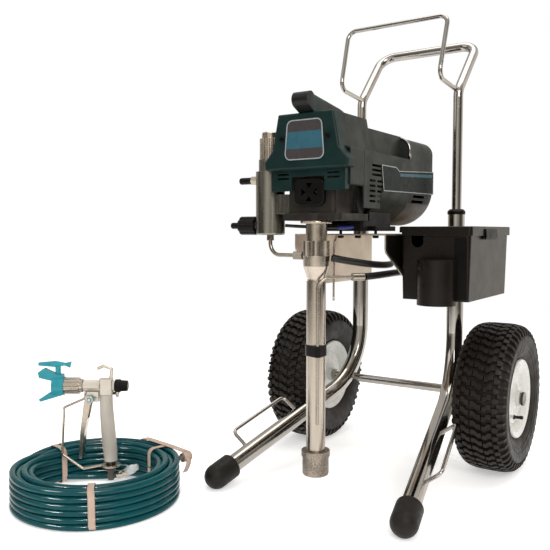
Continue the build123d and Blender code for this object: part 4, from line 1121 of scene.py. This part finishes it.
def studio_world():
    """White to the camera, and banded light and dark to the object."""
    world = bpy.data.worlds.new("studio")
    scene.world = world
    world.use_nodes = True
    sky = Graph(world.node_tree)
    background = sky.tree.nodes["Background"]
    direction = sky.add("ShaderNodeTexCoord")
    turn = sky.add("ShaderNodeVectorRotate", rotation_type="Z_AXIS")
    turn.inputs["Angle"].default_value = -camera_heading
    sky.link(direction.outputs["Generated"], turn.inputs["Vector"])
    split = sky.add("ShaderNodeSeparateXYZ")
    sky.link(turn.outputs["Vector"], split.inputs["Vector"])
    angle = sky.add("ShaderNodeMath", operation="ARCTAN2")
    sky.link(split.outputs["X"], angle.inputs[0])
    sky.link(split.outputs["Y"], angle.inputs[1])
    share = sky.add("ShaderNodeMapRange")
    share.inputs["From Min"].default_value = -pi
    share.inputs["From Max"].default_value = pi
    sky.link(angle.outputs["Value"], share.inputs["Value"])
    ramp = sky.add("ShaderNodeValToRGB")
    ramp.color_ramp.interpolation = "EASE"
    stops = ramp.color_ramp.elements
    while len(stops) < len(surround):
        stops.new(0.5)
    for stop, (degrees, level) in zip(stops, surround):
        stop.position = degrees / 360 + 0.5
        stop.color = (level, level * 0.945, level * 0.875, 1)
    sky.link(share.outputs["Result"], ramp.inputs["Fac"])
    overhead = sky.add("ShaderNodeMapRange")
    overhead.inputs["From Min"].default_value, overhead.inputs["From Max"].default_value = even_above
    sky.link(split.outputs["Z"], overhead.inputs["Value"])
    mixed = sky.add("ShaderNodeMix", data_type="RGBA")
    mixed.inputs["B"].default_value = (0.75, 0.75, 0.75, 1)
    sky.link(overhead.outputs["Result"], mixed.inputs["Factor"])
    sky.link(ramp.outputs["Color"], mixed.inputs["A"])
    path = sky.add("ShaderNodeLightPath")
    seen = sky.add("ShaderNodeMix", data_type="RGBA")
    seen.inputs["B"].default_value = (1, 1, 1, 1)
    sky.link(path.outputs["Is Camera Ray"], seen.inputs["Factor"])
    sky.link(mixed.outputs["Result"], seen.inputs["A"])
    sky.link(seen.outputs["Result"], background.inputs["Color"])


floor()
studio_world()
target = (0.05, 0.0, 0.45)
area_light("key", (2.5, -2.3, 2.5), target, size=1.8, power=62)
area_light("fill", (-2.4, -1.8, 2.2), target, size=2.0, power=14)
area_light("top", (0.2, 0.4, 3.4), target, size=2.4, power=45)
hose_highlights()

# The camera that was fitted to the wheels, the rails and the handle in the photo.
looking_down = radians(3.55)
camera_data = bpy.data.cameras.new("camera")
camera_data.lens = 45.72
camera_data.sensor_width = 36.0
camera = bpy.data.objects.new("camera", camera_data)
camera.location = cart(689.8, -1574.0, 534.7)
camera.rotation_euler = Euler((pi / 2 - looking_down, 0, camera_heading))
scene.collection.objects.link(camera)
scene.camera = camera
scene.view_settings.view_transform = "Standard"
